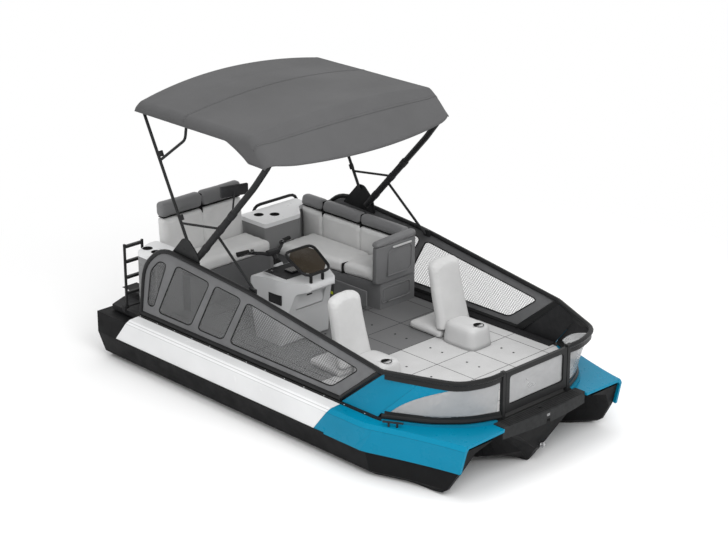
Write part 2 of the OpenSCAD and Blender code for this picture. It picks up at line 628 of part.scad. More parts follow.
// A hoop across the boat: its legs' points in X and Z, then a bar that follows the crown
function hoop(legs, r) =
    let (y = leg_y(r), top_x = legs[len(legs) - 1][0])
    let (bar = [for (k = [-4:4]) [top_x, y * 0.96 * k / 4, under_top(top_x, y * 0.96 * k / 4, r)]])
    rounded_path(concat([for (p = legs) [p[0], -y, p[1]]], [for (p = bar) p], [for (p = reverse(legs)) [p[0], y, p[1]]]), 40, 3);

function leg_top(x, r) = [x, under_top(x, leg_y(r), r) - 40];
main_top = leg_top(aft(2290), bow_tube_r);
rear_top = leg_top(aft(690), pole_r);
upper_r = pole_r * 0.9;
upper_bend = [aft(1262), 2290];
upper_top = leg_top(aft(1290), upper_r);
join_share = 0.61;                     // share of the rear pole's height where the upper bow leaves it
join_point = mix(rear_base, rear_top, join_share);

// Start of a tube that branches off another: clear of the other's round side
function branch(at, towards, other_dir, r, r_small) =
    let (d = unit(towards - at), c = abs(d * unit(other_dir)), s = sqrt(1 - c * c))
    at + d * (r + seat_gap + r_small * c) / s;

module top_brackets() color(dark) both_sides() {
    // A plate on the side rail carries the bows' feet, and a block on the rail takes the strut
    upright(bracket_in + bracket_t / 2, bracket_t) polygon(rounded_loop([[aft(1010), deck_h + rail_h - 25],
        [aft(1440), deck_h + rail_h - 45], [aft(1405), deck_h + rail_h + 95], [aft(1290), deck_h + rail_h + 200],
        [aft(1215), deck_h + rail_h + 200]], 28));
    translate(foot_at) cube(foot_block);
}
module main_bow() color(dark) tube(hoop([main_base, main_bend, main_top], bow_tube_r), bow_tube_r, [0.9, 0.02, -0.42], 12);
module rear_bow() color(dark) tube(hoop([rear_base, rear_top], pole_r), pole_r, [0.86, 0.02, 0.5]);
module upper_bow() color(dark) tube(hoop([branch(join_point, upper_bend, rear_top - rear_base, pole_r, upper_r),
    upper_bend, upper_top], upper_r), upper_r, [0.9, 0.02, -0.6]);

brace_r = 11;
brace_rear = mix(rear_base, rear_top, 0.145);
brace_front = mix(main_base, main_bend, 0.44);
module top_braces() color(dark) both_sides() {
    a = [brace_rear[0], leg_y(pole_r), brace_rear[1]];
    b = [brace_front[0], leg_y(bow_tube_r), brace_front[1]];
    rear_dir = [rear_top[0] - rear_base[0], 0, rear_top[1] - rear_base[1]];
    main_dir = [main_bend[0] - main_base[0], 0, main_bend[1] - main_base[1]];
    tube([branch(a, b, rear_dir, pole_r, brace_r), branch(b, a, main_dir, bow_tube_r, brace_r)], brace_r);
}

strut_r = 12;
strut_top = mix(main_base, main_bend, 0.36);
module top_struts() color(dark) both_sides() {
    a = [strut_top[0], leg_y(bow_tube_r), strut_top[1]];
    b = [foot_at[0] + foot_block[0] / 2, foot_at[1] - strut_r - seat_gap, foot_at[2] + 24];
    main_dir = [main_bend[0] - main_base[0], 0, main_bend[1] - main_base[1]];
    tube([branch(a, b, main_dir, bow_tube_r, strut_r), b], strut_r);
}

mirror_size = [28, 250, 90];
mirror_share = 0.634;                   // share of the main bow's straight leg where the mirror sits
arm_r = 8;
module helm_mirror() color(black) {
    at = [mix(main_base, main_bend, mirror_share)[0], -leg_y(bow_tube_r), mix(main_base, main_bend, mirror_share)[1]];
    main_dir = [main_bend[0] - main_base[0], 0, main_bend[1] - main_base[1]];
    arm_end = at + [-45, 68, 190];
    tube([branch(at, arm_end, main_dir, bow_tube_r, arm_r), arm_end], arm_r, [0, 0, 1]);
    translate(arm_end) rotate([0, 0, -15]) translate([6 - mirror_size[0], -mirror_size[1] / 2, -mirror_size[2] / 2]) cube(mirror_size);
}

// ---- Helm -------------------------------------------------------------------------------------

helm_y = -400;                         // centre line of the helm
console_top = deck_h + console_h;
console_aft = aft(1660);
console_tip = aft(2290);
lid_low = deck_h + 330;
lid_high = deck_h + 455;
lid_half = 150;
lid_gap = 6;
lid_x = console_tip - 202;
lid_t = 16;
lid_pin_r = 4;

// Side view of the console: foot, front face, overhanging nose, dash and aft face
console_side = rounded_path([[console_aft + 60, deck_h + seat_gap], [console_aft + 400, deck_h + seat_gap],
    [console_tip - 195, lid_low - 40], [console_tip - 130, lid_high + 40], [console_tip, console_top - 60],
    [console_tip - 20, console_top], [console_aft + 260, console_top], [console_aft, console_top - 40],
    [console_aft - 20, console_top - 180]], 30);
// The steering column leans back to the driver
column_at = [aft(1712), helm_y, console_top - 12];
column_lean = -35;
column_r = 20;
module column_frame() translate(column_at) rotate([0, column_lean, 0]) children();

module console() color(vinyl) difference() {
    union() {
        intersection() {
            upright(helm_y, console_w) polygon(console_side);
            // Plan view: the nose narrows towards the bow
            translate([0, helm_y, deck_h - 1]) linear_extrude(console_h + 60) polygon(rounded_loop([
                [console_aft - 40, -console_w / 2], [console_tip - 260, -console_w / 2], [console_tip + 5, -console_w / 4],
                [console_tip + 5, console_w / 4], [console_tip - 260, console_w / 2], [console_aft - 40, console_w / 2]], 60));
        }
        column_frame() translate([0, 0, -60]) cylinder(h = 75, r = column_r + 22, $fn = 64);
    }
    column_frame() translate([0, 0, -45]) cylinder(h = 70, r = column_r + 0.06, $fn = 64);
    // The glovebox and its mouth in the front face, and the holes for the lid's pin
    translate([console_tip - 420, helm_y - lid_half - lid_gap, lid_low - 12])
        cube([420, 2 * (lid_half + lid_gap), lid_high - lid_low + 12 + lid_gap]);
    lid_pin(lid_pin_r + 0.06);
}
module lid_pin(r) translate([lid_x + lid_t / 2, helm_y + lid_half + 20, lid_low + 8]) rotate([90, 0, 0])
    cylinder(h = 2 * (lid_half + 20), r = r, $fn = 32);
module glovebox_lid() color(white) {
    translate([lid_x, helm_y - lid_half, lid_low]) cube([lid_t, 2 * lid_half, lid_high - lid_low]);
    lid_pin(lid_pin_r);
}

// The wind deflector: a smoked sheet in a tube frame that slopes down to the bow
defl_aft = [aft(2010), 1350];
defl_front = [aft(2270), 1205];
defl_y = [-610, -275];
frame_r = 13;
module deflector_frame() color(black) {
    corners = [[defl_aft[0], defl_y[0], defl_aft[1]], [defl_aft[0], defl_y[1], defl_aft[1]],
        [defl_front[0], defl_y[1] - 20, defl_front[1]], [defl_front[0], defl_y[0] + 20, defl_front[1]]];
    path = rounded_loop(corners, 70);
    middle = mix(corners[0], corners[1], 0.5);
    // The loop is one tube that starts and ends in the middle of its aft bar
    tube(concat([middle + [0, 1, 0]], [for (i = [5:len(path) - 1]) path[i]], [for (i = [0:4]) path[i]], [middle - [0, 1, 0]]),
        frame_r, [0.4, 0.05, 1], 10);
    for (y = [defl_y[0] + 100, defl_y[1] - 100])
        translate([defl_front[0] - 34, y - 9, console_top + seat_gap]) cube([22, 18, defl_front[1] - console_top + 4]);
}
function ends(p, y0, y1) = [[p[0], y0, p[2] - 2], [p[0], y1, p[2] - 2], [p[0], y1, p[2] + 2], [p[0], y0, p[2] + 2]];
module deflector() color(smoke) {
    in = frame_r + 1.1;
    along_x = unit([defl_front[0] - defl_aft[0], 0, defl_front[1] - defl_aft[1]]);
    a = [defl_aft[0], 0, defl_aft[1]] + along_x * in;
    b = [defl_front[0], 0, defl_front[1]] - along_x * in;
    cut = 52;
    skin([ends(a, defl_y[0] + in + cut, defl_y[1] - in - cut),
        ends(mix(a, b, 0.18), defl_y[0] + in + 6, defl_y[1] - in - 6),
        ends(mix(a, b, 0.82), defl_y[0] + in + 20, defl_y[1] - in - 20),
        ends(b, defl_y[0] + in + cut + 20, defl_y[1] - in - cut - 20)]);
}

bar_rise = 112;
module handlebar() color(black) {
    column_frame() translate([0, 0, -40]) cylinder(h = bar_rise + 40, r = column_r, $fn = 64);
    // The bar crosses the column's head, rises and runs back to the grips
    head = column_at + [bar_rise * sin(column_lean), 0, bar_rise * cos(column_lean)];
    side = [[0, 50, 0], [-25, 100, 22], [-95, bar_span / 2 - 110, 30], [-135, bar_span / 2, 22]];
    tube(rounded_path(concat([for (p = reverse(side)) head + [p[0], -p[1], p[2]]], [for (p = side) head + p]), 30), 15, [0.3, 0.02, 1]);
}

// ---- Seats ------------------------------------------------------------------------------------

driver_x = [aft(430), aft(920)];
driver_y = [-720, 240];
driver_seat = deck_h + driver_seat_h;
driver_back_t = 114;
driver_back_top = driver_seat + 485;
module driver_bench() color(vinyl_dark)
    translate([driver_x[0], driver_y[0], deck_h + seat_gap])
        cube([driver_x[1] - driver_x[0] - 40, driver_y[1] - driver_y[0], driver_seat_h - cushion_t - 2 * seat_gap]);
module driver_cushion() color(vinyl)
    translate([driver_x[0] + driver_back_t + 2 * seat_gap, driver_y[0], driver_seat - cushion_t])
        cube([driver_x[1] - driver_x[0] - driver_back_t, driver_y[1] - driver_y[0], cushion_t]);
back_seam = 6;                         // width of the line between two backrest panels
module driver_backrest() color(vinyl_dark) {
    wide = (driver_y[1] - driver_y[0] - back_seam) / 2;
    for (k = [0, 1]) upright(driver_y[0] + wide / 2 + k * (wide + back_seam), wide) polygon([
        [driver_x[0], driver_seat - cushion_t + seat_gap], [driver_x[0] + driver_back_t, driver_seat - cushion_t + seat_gap],
        [driver_x[0] + driver_back_t - 40, driver_back_top], [driver_x[0] - 35, driver_back_top]]);
}

bench_end = aft(2050);
bench_start = aft(806);
back_start = aft(620);
arm_t = 55;
bench_in = [360, 500];                 // the cushions' inner edge at the aft and the forward end
bench_out = fence_y - 118;
bench_back_t = 105;
bench_mid = bench_out - bench_back_t;  // where cushions end and backrests start
bench_base_h = seat_h - cushion_t;
cushion_end = bench_end - arm_t - seat_gap;
function bench_edge(x) = mix(bench_in[0], bench_in[1], (x - bench_start) / (cushion_end - bench_start));
module bench_base() color(vinyl_dark) translate([0, 0, deck_h + seat_gap]) linear_extrude(bench_base_h - 2 * seat_gap)
    polygon([[bench_start, bench_in[0] + 45], [bench_end - 8, bench_in[1] + 25], [bench_end - 8, bench_out],
        [back_start, bench_out], [back_start, bench_mid + 25], [bench_start, bench_mid + 25]]);
bench_seam = aft(1600);
module bench_cushions() color(vinyl) translate([0, 0, deck_h + bench_base_h]) linear_extrude(cushion_t) {
    polygon([[bench_start, bench_in[0]], [bench_seam - 2, bench_edge(bench_seam - 2)], [bench_seam - 2, bench_mid], [bench_start, bench_mid]]);
    polygon([[bench_seam + 2, bench_edge(bench_seam + 2)], [cushion_end, bench_in[1]], [cushion_end, bench_mid], [bench_seam + 2, bench_mid]]);
}
back_seams = [back_start, aft(918), aft(1430), cushion_end];
module bench_backrest() color(vinyl) for (k = [0:2]) translate([back_seams[k] + back_seam / 2, 0, 0])
    rotate([90, 0, 90]) linear_extrude(back_seams[k + 1] - back_seams[k] - back_seam) polygon([
        [bench_mid + seat_gap, deck_h + seat_h + 2], [bench_mid + seat_gap, deck_h + bench_base_h], [bench_out, deck_h + bench_base_h],
        [bench_out + 10, deck_h + back_h - 10], [bench_out - 90, deck_h + back_h], [bench_mid - 12, deck_h + back_h - 110]]);
module bench_armrest() color(vinyl_dark) translate([bench_end - arm_t, 0, 0]) rotate([90, 0, 90]) linear_extrude(arm_t + 4)
    polygon([[bench_in[1] - 40, deck_h + bench_base_h + 20], [bench_in[1] + 20, deck_h + bench_base_h], [bench_out + 10, deck_h + bench_base_h],
        [bench_out + 10, deck_h + back_h - 20], [bench_in[1] - 20, deck_h + back_h - 30], [bench_in[1] - 50, deck_h + back_h - 60]]);

table_h = 565;
function table_z() = deck_h + table_h;
module table_top(outline, cups) difference() {
    translate([0, 0, deck_h + seat_gap]) linear_extrude(table_h - seat_gap) polygon(rounded_loop(outline, 30));
    for (p = cups) translate([p[0], p[1], table_z() - cup_depth]) cylinder(h = cup_depth + 1, r = cup_r, $fn = 64);
}
table_aft = aft(425);
corner_cups = [[aft(545), 400], [aft(640), 515]];
module corner_table() color(white) table_top([[table_aft, driver_y[1] + 20], [bench_start - 8, driver_y[1] + 20],
    [bench_start - 8, 700], [back_start - 6, bench_mid - 14], [back_start - 6, bench_out + 10], [table_aft, bench_out + 10]], corner_cups);
side_cups = [[aft(530), -fence_y + 165], [aft(655), -fence_y + 165]];
module side_table() color(white) table_top([[table_aft + 105, -fence_y + 45], [aft(800), -fence_y + 45],
    [aft(800), driver_y[0] - 6], [table_aft, driver_y[0] - 6], [table_aft, -fence_y + 260]], side_cups);

pod_x = [fwd(1600), fwd(1210)];
pod_y = [400, 690];
pod_h = 190;
pad_h = 78;
bow_seat_w = 400;
pod_cup = [fwd(1290), 560];
module bow_seat_pods() color(vinyl) both_sides() difference() {
    skin([for (k = [0, 1]) let (z = deck_h + seat_gap + k * pod_h, s = k * 22)
        [[pod_x[0] + s, pod_y[0] + s, z], [pod_x[0] + s, pod_y[1] - s, z], [pod_x[1] - 1.5 * s, pod_y[1] - s, z], [pod_x[1] - 1.5 * s, pod_y[0] + s, z]]]);
    translate([pod_cup[0], pod_cup[1], deck_h + seat_gap + pod_h - cup_depth]) cylinder(h = cup_depth + 10, r = cup_r, $fn = 64);
}
module bow_seat_pads() color(vinyl) both_sides()
    translate([pod_x[0] - 400, pod_y[0], deck_h + seat_gap]) cube([398, bow_seat_w, pad_h]);
module bow_seat_backs() color(vinyl) both_sides() upright(pod_y[0] + bow_seat_w / 2, bow_seat_w) polygon([
    [pod_x[0] - 130, deck_h + pad_h + 2 * seat_gap], [pod_x[0] - 3, deck_h + pad_h + 2 * seat_gap], [pod_x[0] - 3, deck_h + pod_h + 3 * seat_gap],
    [pod_x[0] + 100, deck_h + pod_h + 3 * seat_gap], [pod_x[0] - 125, deck_h + 700], [pod_x[0] - 225, deck_h + 665]]);

// ---- Jet drive --------------------------------------------------------------------------------

engine_size = [720, 430, 330];
module engine() color(metal) translate([mix(bay_x[0], bay_x[1], 0.5) - engine_size[0] / 2, -engine_size[1] / 2, bay_floor])
    cube(engine_size);

pump_len = 150;
pump_out = pump_r + pump_wall;
housing_aft = pump_x - seat_gap - pump_len;
shaft_r = 14;
module along_pump(x) translate([x, 0, pump_h]) rotate([0, 90, 0]) children();

steer_x = housing_aft - 22;            // the nozzle's upright pivot
steer_pin_r = 6;
ear_t = 6;
nozzle_r = pump_r - 12;              // inner radius of the nozzle's mouth
nozzle_wall = 6;
nozzle_len = 100;
module pump_housing() color(metal) {
    difference() {
        union() {
            along_pump(housing_aft) cylinder(h = pump_len, r = pump_out, $fn = 72);
            translate([pump_x - seat_gap - 14, -140, pump_h - 120]) cube([14, 280, 240]);
        }
        along_pump(housing_aft - 1) cylinder(h = pump_len + 2, r = pump_r, $fn = 72);
    }
    // Guide vanes hold the shaft's bearing
    difference() {
        union() {
            along_pump(housing_aft + 8) cylinder(h = 40, r = shaft_r + 12, $fn = 48);
            for (a = [30:60:330]) translate([housing_aft + 28, 0, pump_h]) rotate([a, 0, 0])
                translate([0, shaft_r + 10, -2]) cube([18, pump_r - shaft_r - 8, 4]);
        }
        along_pump(housing_aft) cylinder(h = 60, r = shaft_r + 0.06, $fn = 48);
    }
    // Ears above and below carry the nozzle's pins
    for (s = [-1, 1]) {
        translate([steer_x - 14, -14, pump_h + s * (pump_out + ear_t / 2 - 1) - ear_t / 2]) cube([housing_aft + 20 - steer_x + 14, 28, ear_t]);
        translate([steer_x, 0, pump_h + s * (nozzle_r + pump_out + 4) / 2 - (pump_out - nozzle_r + 2) / 2])
            cylinder(h = pump_out - nozzle_r + 2, r = steer_pin_r, $fn = 32);
    }
}
module impeller() color(metal) {
    along_pump(housing_aft + 10) cylinder(h = 50, r = shaft_r, $fn = 48);
    along_pump(housing_aft + 54) cylinder(h = 80, r = shaft_r + 14, $fn = 48);
    for (k = [0:3]) translate([housing_aft + 94, 0, pump_h]) rotate([90 * k, 0, 0]) rotate([0, 0, 38])
        translate([-3, shaft_r + 8, -26]) cube([6, pump_r - shaft_r - 22, 52]);
}

bucket_x = steer_x - 50;               // the bucket's cross pivot on the nozzle
bucket_r = 84;
bucket_pin_r = 7;
bucket_y = pump_out + 4;
arm_plate = 6;
module steering_nozzle() color(metal) {
    difference() {
        along_pump(steer_x - nozzle_len + 18) cylinder(h = nozzle_len, r1 = nozzle_r - 12, r2 = nozzle_r + nozzle_wall, $fn = 72);
        along_pump(steer_x - nozzle_len + 17) cylinder(h = nozzle_len + 2, r1 = nozzle_r - 12 - nozzle_wall, r2 = nozzle_r, $fn = 72);
        translate([steer_x, 0, pump_h - 120]) cylinder(h = 240, r = steer_pin_r + 0.06, $fn = 32);
    }
    // Bosses for the bucket's pivots
    for (s = [0, 1]) mirror([0, s, 0]) translate([bucket_x, bucket_y + arm_plate, pump_h]) rotate([90, 0, 0])
        cylinder(h = bucket_y + arm_plate - nozzle_r + 8, r = bucket_pin_r, $fn = 32);
}

function pie(r, a, b, n = 10) = concat([[0, 0]], [for (i = [0:n]) let (t = mix(a, b, i / n)) [r * cos(t), r * sin(t)]]);
module reverse_bucket() color(dark) translate([bucket_x, 0, pump_h]) {
    // The shell stands over the nozzle until it swings down behind it
    difference() {
        rotate([90, 0, 0]) translate([0, 0, -bucket_y]) linear_extrude(2 * bucket_y) polygon(pie(bucket_r + 6, 70, 130));
        translate([0, bucket_y + 1, 0]) rotate([90, 0, 0]) cylinder(h = 2 * bucket_y + 2, r = bucket_r, $fn = 72);
    }
    for (s = [0, 1]) mirror([0, s, 0]) translate([0, bucket_y + arm_plate, 0]) rotate([90, 0, 0]) difference() {
        linear_extrude(arm_plate) union() {
            polygon(pie(bucket_r + 6, 72, 128));
            circle(r = 15, $fn = 40);
        }
        translate([0, 0, -1]) cylinder(h = arm_plate + 2, r = bucket_pin_r + 0.06, $fn = 32);
    }
}

// ---- Pieces -----------------------------------------------------------------------------------

centre_hull();
starboard_hull();
port_hull();
deck();
starboard_cover();
port_cover();
starboard_bow_cover();
port_bow_cover();
bow_step();
bow_eye();
stern_platform();
cleats();
starboard_rail();
port_rail();
starboard_screen();
port_screen();
side_meshes();
starboard_bow_rail();
port_bow_rail();
bow_panels();
bow_windows();
bow_gate();
gate_window();
boarding_ladder();
top_brackets();
main_bow();
rear_bow();
upper_bow();
top_braces();
top_struts();
canopy();
helm_mirror();
console();
deflector_frame();
deflector();
handlebar();
glovebox_lid();
driver_bench();
driver_cushion();
driver_backrest();
bench_base();
bench_cushions();
bench_backrest();
bench_armrest();
corner_table();
side_table();
stern_hoop();
bow_seat_pods();
bow_seat_pads();
bow_seat_backs();
engine();
pump_housing();
impeller();
steering_nozzle();
reverse_bucket();
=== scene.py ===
# %% [markdown]
# A small jet-driven pontoon boat, finished around a fixed frame. The frame holds every hard piece with its
# real size and joint. This lesson gives each of those pieces a finish, replaces the plain seats and sun top
# with sewn ones, and adds the small parts that a frame leaves out. Lengths are in metres: +X is the bow, +Y
# is port, +Z is up.

# %% Load the frame
import math
import bmesh
import bpy
import numpy as np
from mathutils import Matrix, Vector


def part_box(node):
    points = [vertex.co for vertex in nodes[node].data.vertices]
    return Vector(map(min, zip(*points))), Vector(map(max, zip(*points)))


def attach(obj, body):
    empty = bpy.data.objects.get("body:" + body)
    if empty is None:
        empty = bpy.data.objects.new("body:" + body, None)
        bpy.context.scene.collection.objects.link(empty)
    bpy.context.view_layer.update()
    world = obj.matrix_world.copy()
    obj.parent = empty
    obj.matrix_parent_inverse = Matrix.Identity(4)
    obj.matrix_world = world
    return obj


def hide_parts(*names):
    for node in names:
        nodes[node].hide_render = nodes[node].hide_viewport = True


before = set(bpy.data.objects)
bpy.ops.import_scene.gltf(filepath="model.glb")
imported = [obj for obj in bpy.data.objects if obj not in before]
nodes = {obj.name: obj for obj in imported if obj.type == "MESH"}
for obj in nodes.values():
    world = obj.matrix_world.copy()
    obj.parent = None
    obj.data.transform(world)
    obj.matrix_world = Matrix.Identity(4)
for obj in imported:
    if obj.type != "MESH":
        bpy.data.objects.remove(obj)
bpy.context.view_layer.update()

# %% [markdown]
# Most pieces start as a list of points and faces. One helper turns them into an object that sits at the
# origin, with its place in its mesh, and another says which body the piece moves with and which finish it
# takes. Doing both in one place keeps every piece to the same rules.

# %% Helpers for making pieces
scene = bpy.context.scene


def show(name, mesh):
    """An object for a mesh, at the origin."""
    obj = bpy.data.objects.new(name, mesh)
    scene.collection.objects.link(obj)
    return obj


def shade_smooth(obj, smooth=True):
    obj.data.polygons.foreach_set("use_smooth", [smooth] * len(obj.data.polygons))
    return obj


def piece_from(name, verts, faces, smooth=True):
    """A mesh object made from points and faces."""
    mesh = bpy.data.meshes.new(name)
    mesh.from_pydata([tuple(v) for v in verts], [], faces)
    mesh.validate()
    return shade_smooth(show(name, mesh), smooth)


def fit_out(obj, body, slot, finish):
    """Gives a piece its finish, and lets it ride on a body. The slot argument is not used."""
    obj.data.materials.clear()
    obj.data.materials.append(finish)
    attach(obj, body)
    return obj


def bake_modifiers(obj):
    """Turns an object with modifiers into a plain mesh."""
    graph = bpy.context.evaluated_depsgraph_get()
    mesh = bpy.data.meshes.new_from_object(obj.evaluated_get(graph))
    obj.modifiers.clear()
    obj.data = mesh
    return obj


def modified(obj, kind, **settings):
    """Adds a modifier, sets it and bakes it in."""
    modifier = obj.modifiers.new(kind.lower(), kind)
    for key, value in settings.items():
        setattr(modifier, key, value)
    return bake_modifiers(obj)


def bevelled(obj, width, segments):
    return modified(obj, "BEVEL", width=width, segments=segments, limit_method="NONE")


def mesh_from(name, bm):
    """A new mesh from an edit mesh, which is then freed."""
    mesh = bpy.data.meshes.new(name)
    bm.to_mesh(mesh)
    bm.free()
    return mesh


def outward(obj):
    """Merges doubled points and points every face outwards."""
    bm = bmesh.new()
    bm.from_mesh(obj.data)
    bmesh.ops.remove_doubles(bm, verts=bm.verts, dist=1e-5)
    bmesh.ops.recalc_face_normals(bm, faces=bm.faces)
    bm.to_mesh(obj.data)
    bm.free()
    return obj


def join(name, objs):
    """Several meshes made one object."""
    bm = bmesh.new()
    for obj in objs:
        bm.from_mesh(obj.data)
        bpy.data.objects.remove(obj)
    return show(name, mesh_from(name, bm))


def node_mesh(node):
    """A copy of a frame piece's mesh, in the frame's own place."""
    mesh = nodes[node].data.copy()
    mesh.transform(nodes[node].matrix_world)
    return mesh


print("piece helpers ready")

# %% [markdown]
# Nearly every small part is one of three shapes: a box with softened edges, a tube along a path, or a skin
# over a row of rings that all have the same number of points. They share the skin, which closes each ring
# and caps the two ends.

# %% Boxes, skins and tubes
BOX_FACES = [(3, 2, 1, 0), (4, 5, 6, 7), (0, 1, 5, 4), (1, 2, 6, 5), (2, 3, 7, 6), (3, 0, 4, 7)]


def corners(u0, v0, u1, v1):
    return [(u0, v0), (u1, v0), (u1, v1), (u0, v1)]


def block(name, low, high, bevel=0.003, segments=2):
    """A box with rounded edges."""
    verts = [(x, y, z) for z in (low[2], high[2]) for x, y in corners(*low[:2], *high[:2])]
    obj = piece_from(name, verts, BOX_FACES, smooth=False)
    return bevelled(obj, bevel, segments) if bevel else obj


def skin(name, rings, closed=False, smooth=True):
    """A closed surface over a row of rings, capped at both ends unless the row itself closes."""
    n, last = len(rings[0]), len(rings) - 1
    faces = []
    for i in range(len(rings) if closed else last):
        a, b = i * n, (i + 1) % len(rings) * n
        faces += [(a + k, a + (k + 1) % n, b + (k + 1) % n, b + k) for k in range(n)]
    if not closed:
        faces += [tuple(range(n))[::-1], tuple(last * n + k for k in range(n))]
    return outward(piece_from(name, [p for ring in rings for p in ring], faces, smooth))


def round_points(count):
    """Cosine and sine at equal steps round a circle."""
    return [(math.cos(2 * math.pi * k / count), math.sin(2 * math.pi * k / count)) for k in range(count)]


def tube(name, path, radius, sides=16, closed=False):
    """A round tube along points, with flat ends; radius is one number, or one for each point."""
    pts = [Vector(p) for p in path]
    n = len(pts)
    rings, up = [], None
    for i, p in enumerate(pts):
        a = pts[(i - 1) % n] if closed or i else p
        b = pts[(i + 1) % n] if closed or i < n - 1 else p
        ahead = (b - a).normalized()
        if up is None:
            up = Vector((0, 0, 1)) if abs(ahead.z) < 0.9 else Vector((1, 0, 0))
        across = ahead.cross(up).normalized()
        up = across.cross(ahead).normalized()
        r = radius[i] if isinstance(radius, (list, tuple)) else radius
        rings.append([p + r * (c * across + s * up) for c, s in round_points(sides)])
    return skin(name, rings, closed)


def rounded(points, distance, steps=5):
    """A path with its corners rounded."""
    pts = [Vector(p) for p in points]
    out = [pts[0]]
    for a, b, c in zip(pts, pts[1:], pts[2:]):
        p = b + (a - b).normalized() * min(distance, (a - b).length * 0.49)
        q = b + (c - b).normalized() * min(distance, (c - b).length * 0.49)
        out += [p.lerp(b, t / steps).lerp(b.lerp(q, t / steps), t / steps) for t in range(steps + 1)]
    return out + [pts[-1]]


print("shape helpers ready")

# %% [markdown]
# ## Finishes
#
# Every finish is a node material: a Principled shader whose colour, roughness and bump come from procedural
# patterns measured in metres, on Object coordinates. Since each piece sits at the origin, the same pattern
# has the same size on all of them. A small wrapper adds nodes and links in one line, so that each finish
# reads as a short recipe.

# %% A wrapper for node trees
def grow(tree, kind, inputs=None, **settings):
    """A new node. Each input takes a number, a colour or another node's socket."""
    node = tree.nodes.new(kind)
    for key, value in settings.items():
        setattr(node, key, value)
    for key, value in (inputs or {}).items():
        if isinstance(value, bpy.types.NodeSocket):
            tree.links.new(value, node.inputs[key])
        else:
            node.inputs[key].default_value = value
    return node


class Recipe:
    """A material's node tree, with short ways to add patterns."""

    SOCKETS = {"metal": "Metallic", "alpha": "Alpha", "specular": "Specular IOR Level",
               "coat": "Coat Weight", "coat_rough": "Coat Roughness",
               "sheen": "Sheen Weight", "sheen_rough": "Sheen Roughness"}

    def __init__(self, name, color=(0.5, 0.5, 0.5), rough=0.5, **values):
        self.mat = bpy.data.materials.new(name)
        self.mat.use_nodes = True
        self.tree = self.mat.node_tree
        self.tree.nodes.clear()
        self.color, self.roughness = color, rough
        self.shader = self.add("ShaderNodeBsdfPrincipled")
        self.add("ShaderNodeOutputMaterial", {0: self.shader.outputs[0]})
        self.place = self.add("ShaderNodeTexCoord").outputs["Object"]
        self.shader.inputs["Base Color"].default_value = (*color, 1.0)
        self.shader.inputs["Roughness"].default_value = rough
        for key, value in values.items():
            self.shader.inputs[self.SOCKETS[key]].default_value = value

    def add(self, kind, inputs=None, **settings):
        return grow(self.tree, kind, inputs, **settings)

    def drive(self, socket, value):
        """Links a pattern to one of the shader's sockets."""
        self.tree.links.new(value, self.shader.inputs[socket])
        return self

    def axes(self):
        return self.add("ShaderNodeSeparateXYZ", {0: self.place}).outputs

    def at(self, scale=(1, 1, 1), turn=(0, 0, 0)):
        values = {"Scale": scale, "Rotation": turn, "Vector": self.place}
        return self.add("ShaderNodeMapping", values).outputs[0]

    def noise(self, scale, detail=3.0, where=None):
        values = {"Scale": scale, "Detail": detail, "Roughness": 0.55, "Vector": where or self.place}
        return self.add("ShaderNodeTexNoise", values).outputs["Fac"]

    def cells(self, scale):
        return self.add("ShaderNodeTexVoronoi", {"Scale": scale, "Vector": self.place}).outputs["Distance"]

    def wave(self, scale, direction="X", where=None):
        values = {"Scale": scale, "Vector": where or self.place}
        return self.add("ShaderNodeTexWave", values, bands_direction=direction).outputs["Fac"]

    def math(self, operation, a, b=0.5, clamp=False):
        return self.add("ShaderNodeMath", {0: a, 1: b}, operation=operation, use_clamp=clamp).outputs[0]

    def between(self, value, low, high, to_low=0.0, to_high=1.0):
        values = {"Value": value, "From Min": low, "From Max": high, "To Min": to_low, "To Max": to_high}
        return self.add("ShaderNodeMapRange", values).outputs["Result"]

    def blend(self, value, one, two):
        """Mixes two colours, or colour sockets."""
        one, two = [(*c, 1.0) if isinstance(c, tuple) else c for c in (one, two)]
        return self.add("ShaderNodeMix", {0: value, 6: one, 7: two}, data_type="RGBA").outputs[2]

    def cloudy(self, scale, detail, darker, low=0.3, high=0.7):
        """The colour drifts towards a darker or lighter shade of itself in soft patches."""
        patches = self.between(self.noise(scale, detail), low, high)
        return self.drive("Base Color", self.blend(patches, self.color, shade(self.color, darker)))

    def dulled(self, scale, detail, low_share, high_share):
        """The roughness moves between two shares of the finish's own."""
        low, high = self.roughness * low_share, min(1.0, self.roughness * high_share)
        return self.drive("Roughness", self.between(self.noise(scale, detail), 0.3, 0.7, low, high))

    def bump(self, height, distance, strength=1.0):
        """Adds a height pattern on top of those before it."""
        values = {"Distance": distance, "Strength": strength, "Height": height}
        normal = self.shader.inputs["Normal"]
        if normal.is_linked:
            values["Normal"] = normal.links[0].from_socket
        return self.drive("Normal", self.add("ShaderNodeBump", values).outputs[0])


def shade(color, factor):
    return tuple(c * factor for c in color)


print("recipe ready")

# %% [markdown]
# Hull shells, covers and the console are gloss mouldings. A gel coat is smooth and wet-looking, with a
# faint long-wave ripple, and it dulls a little where hands, fenders and water marks reach it. Coat weight
# gives the wet top layer, and two noises of different sizes move the roughness and the colour very
# slightly. The table is grey below its white top. The covers carry painted shade at the creases of their
# upper edge, as thin darker lines.

# %% Gloss mouldings
# Half the width of each line of painted crease shade.
CREASE_SHADE_HALF = 0.0022


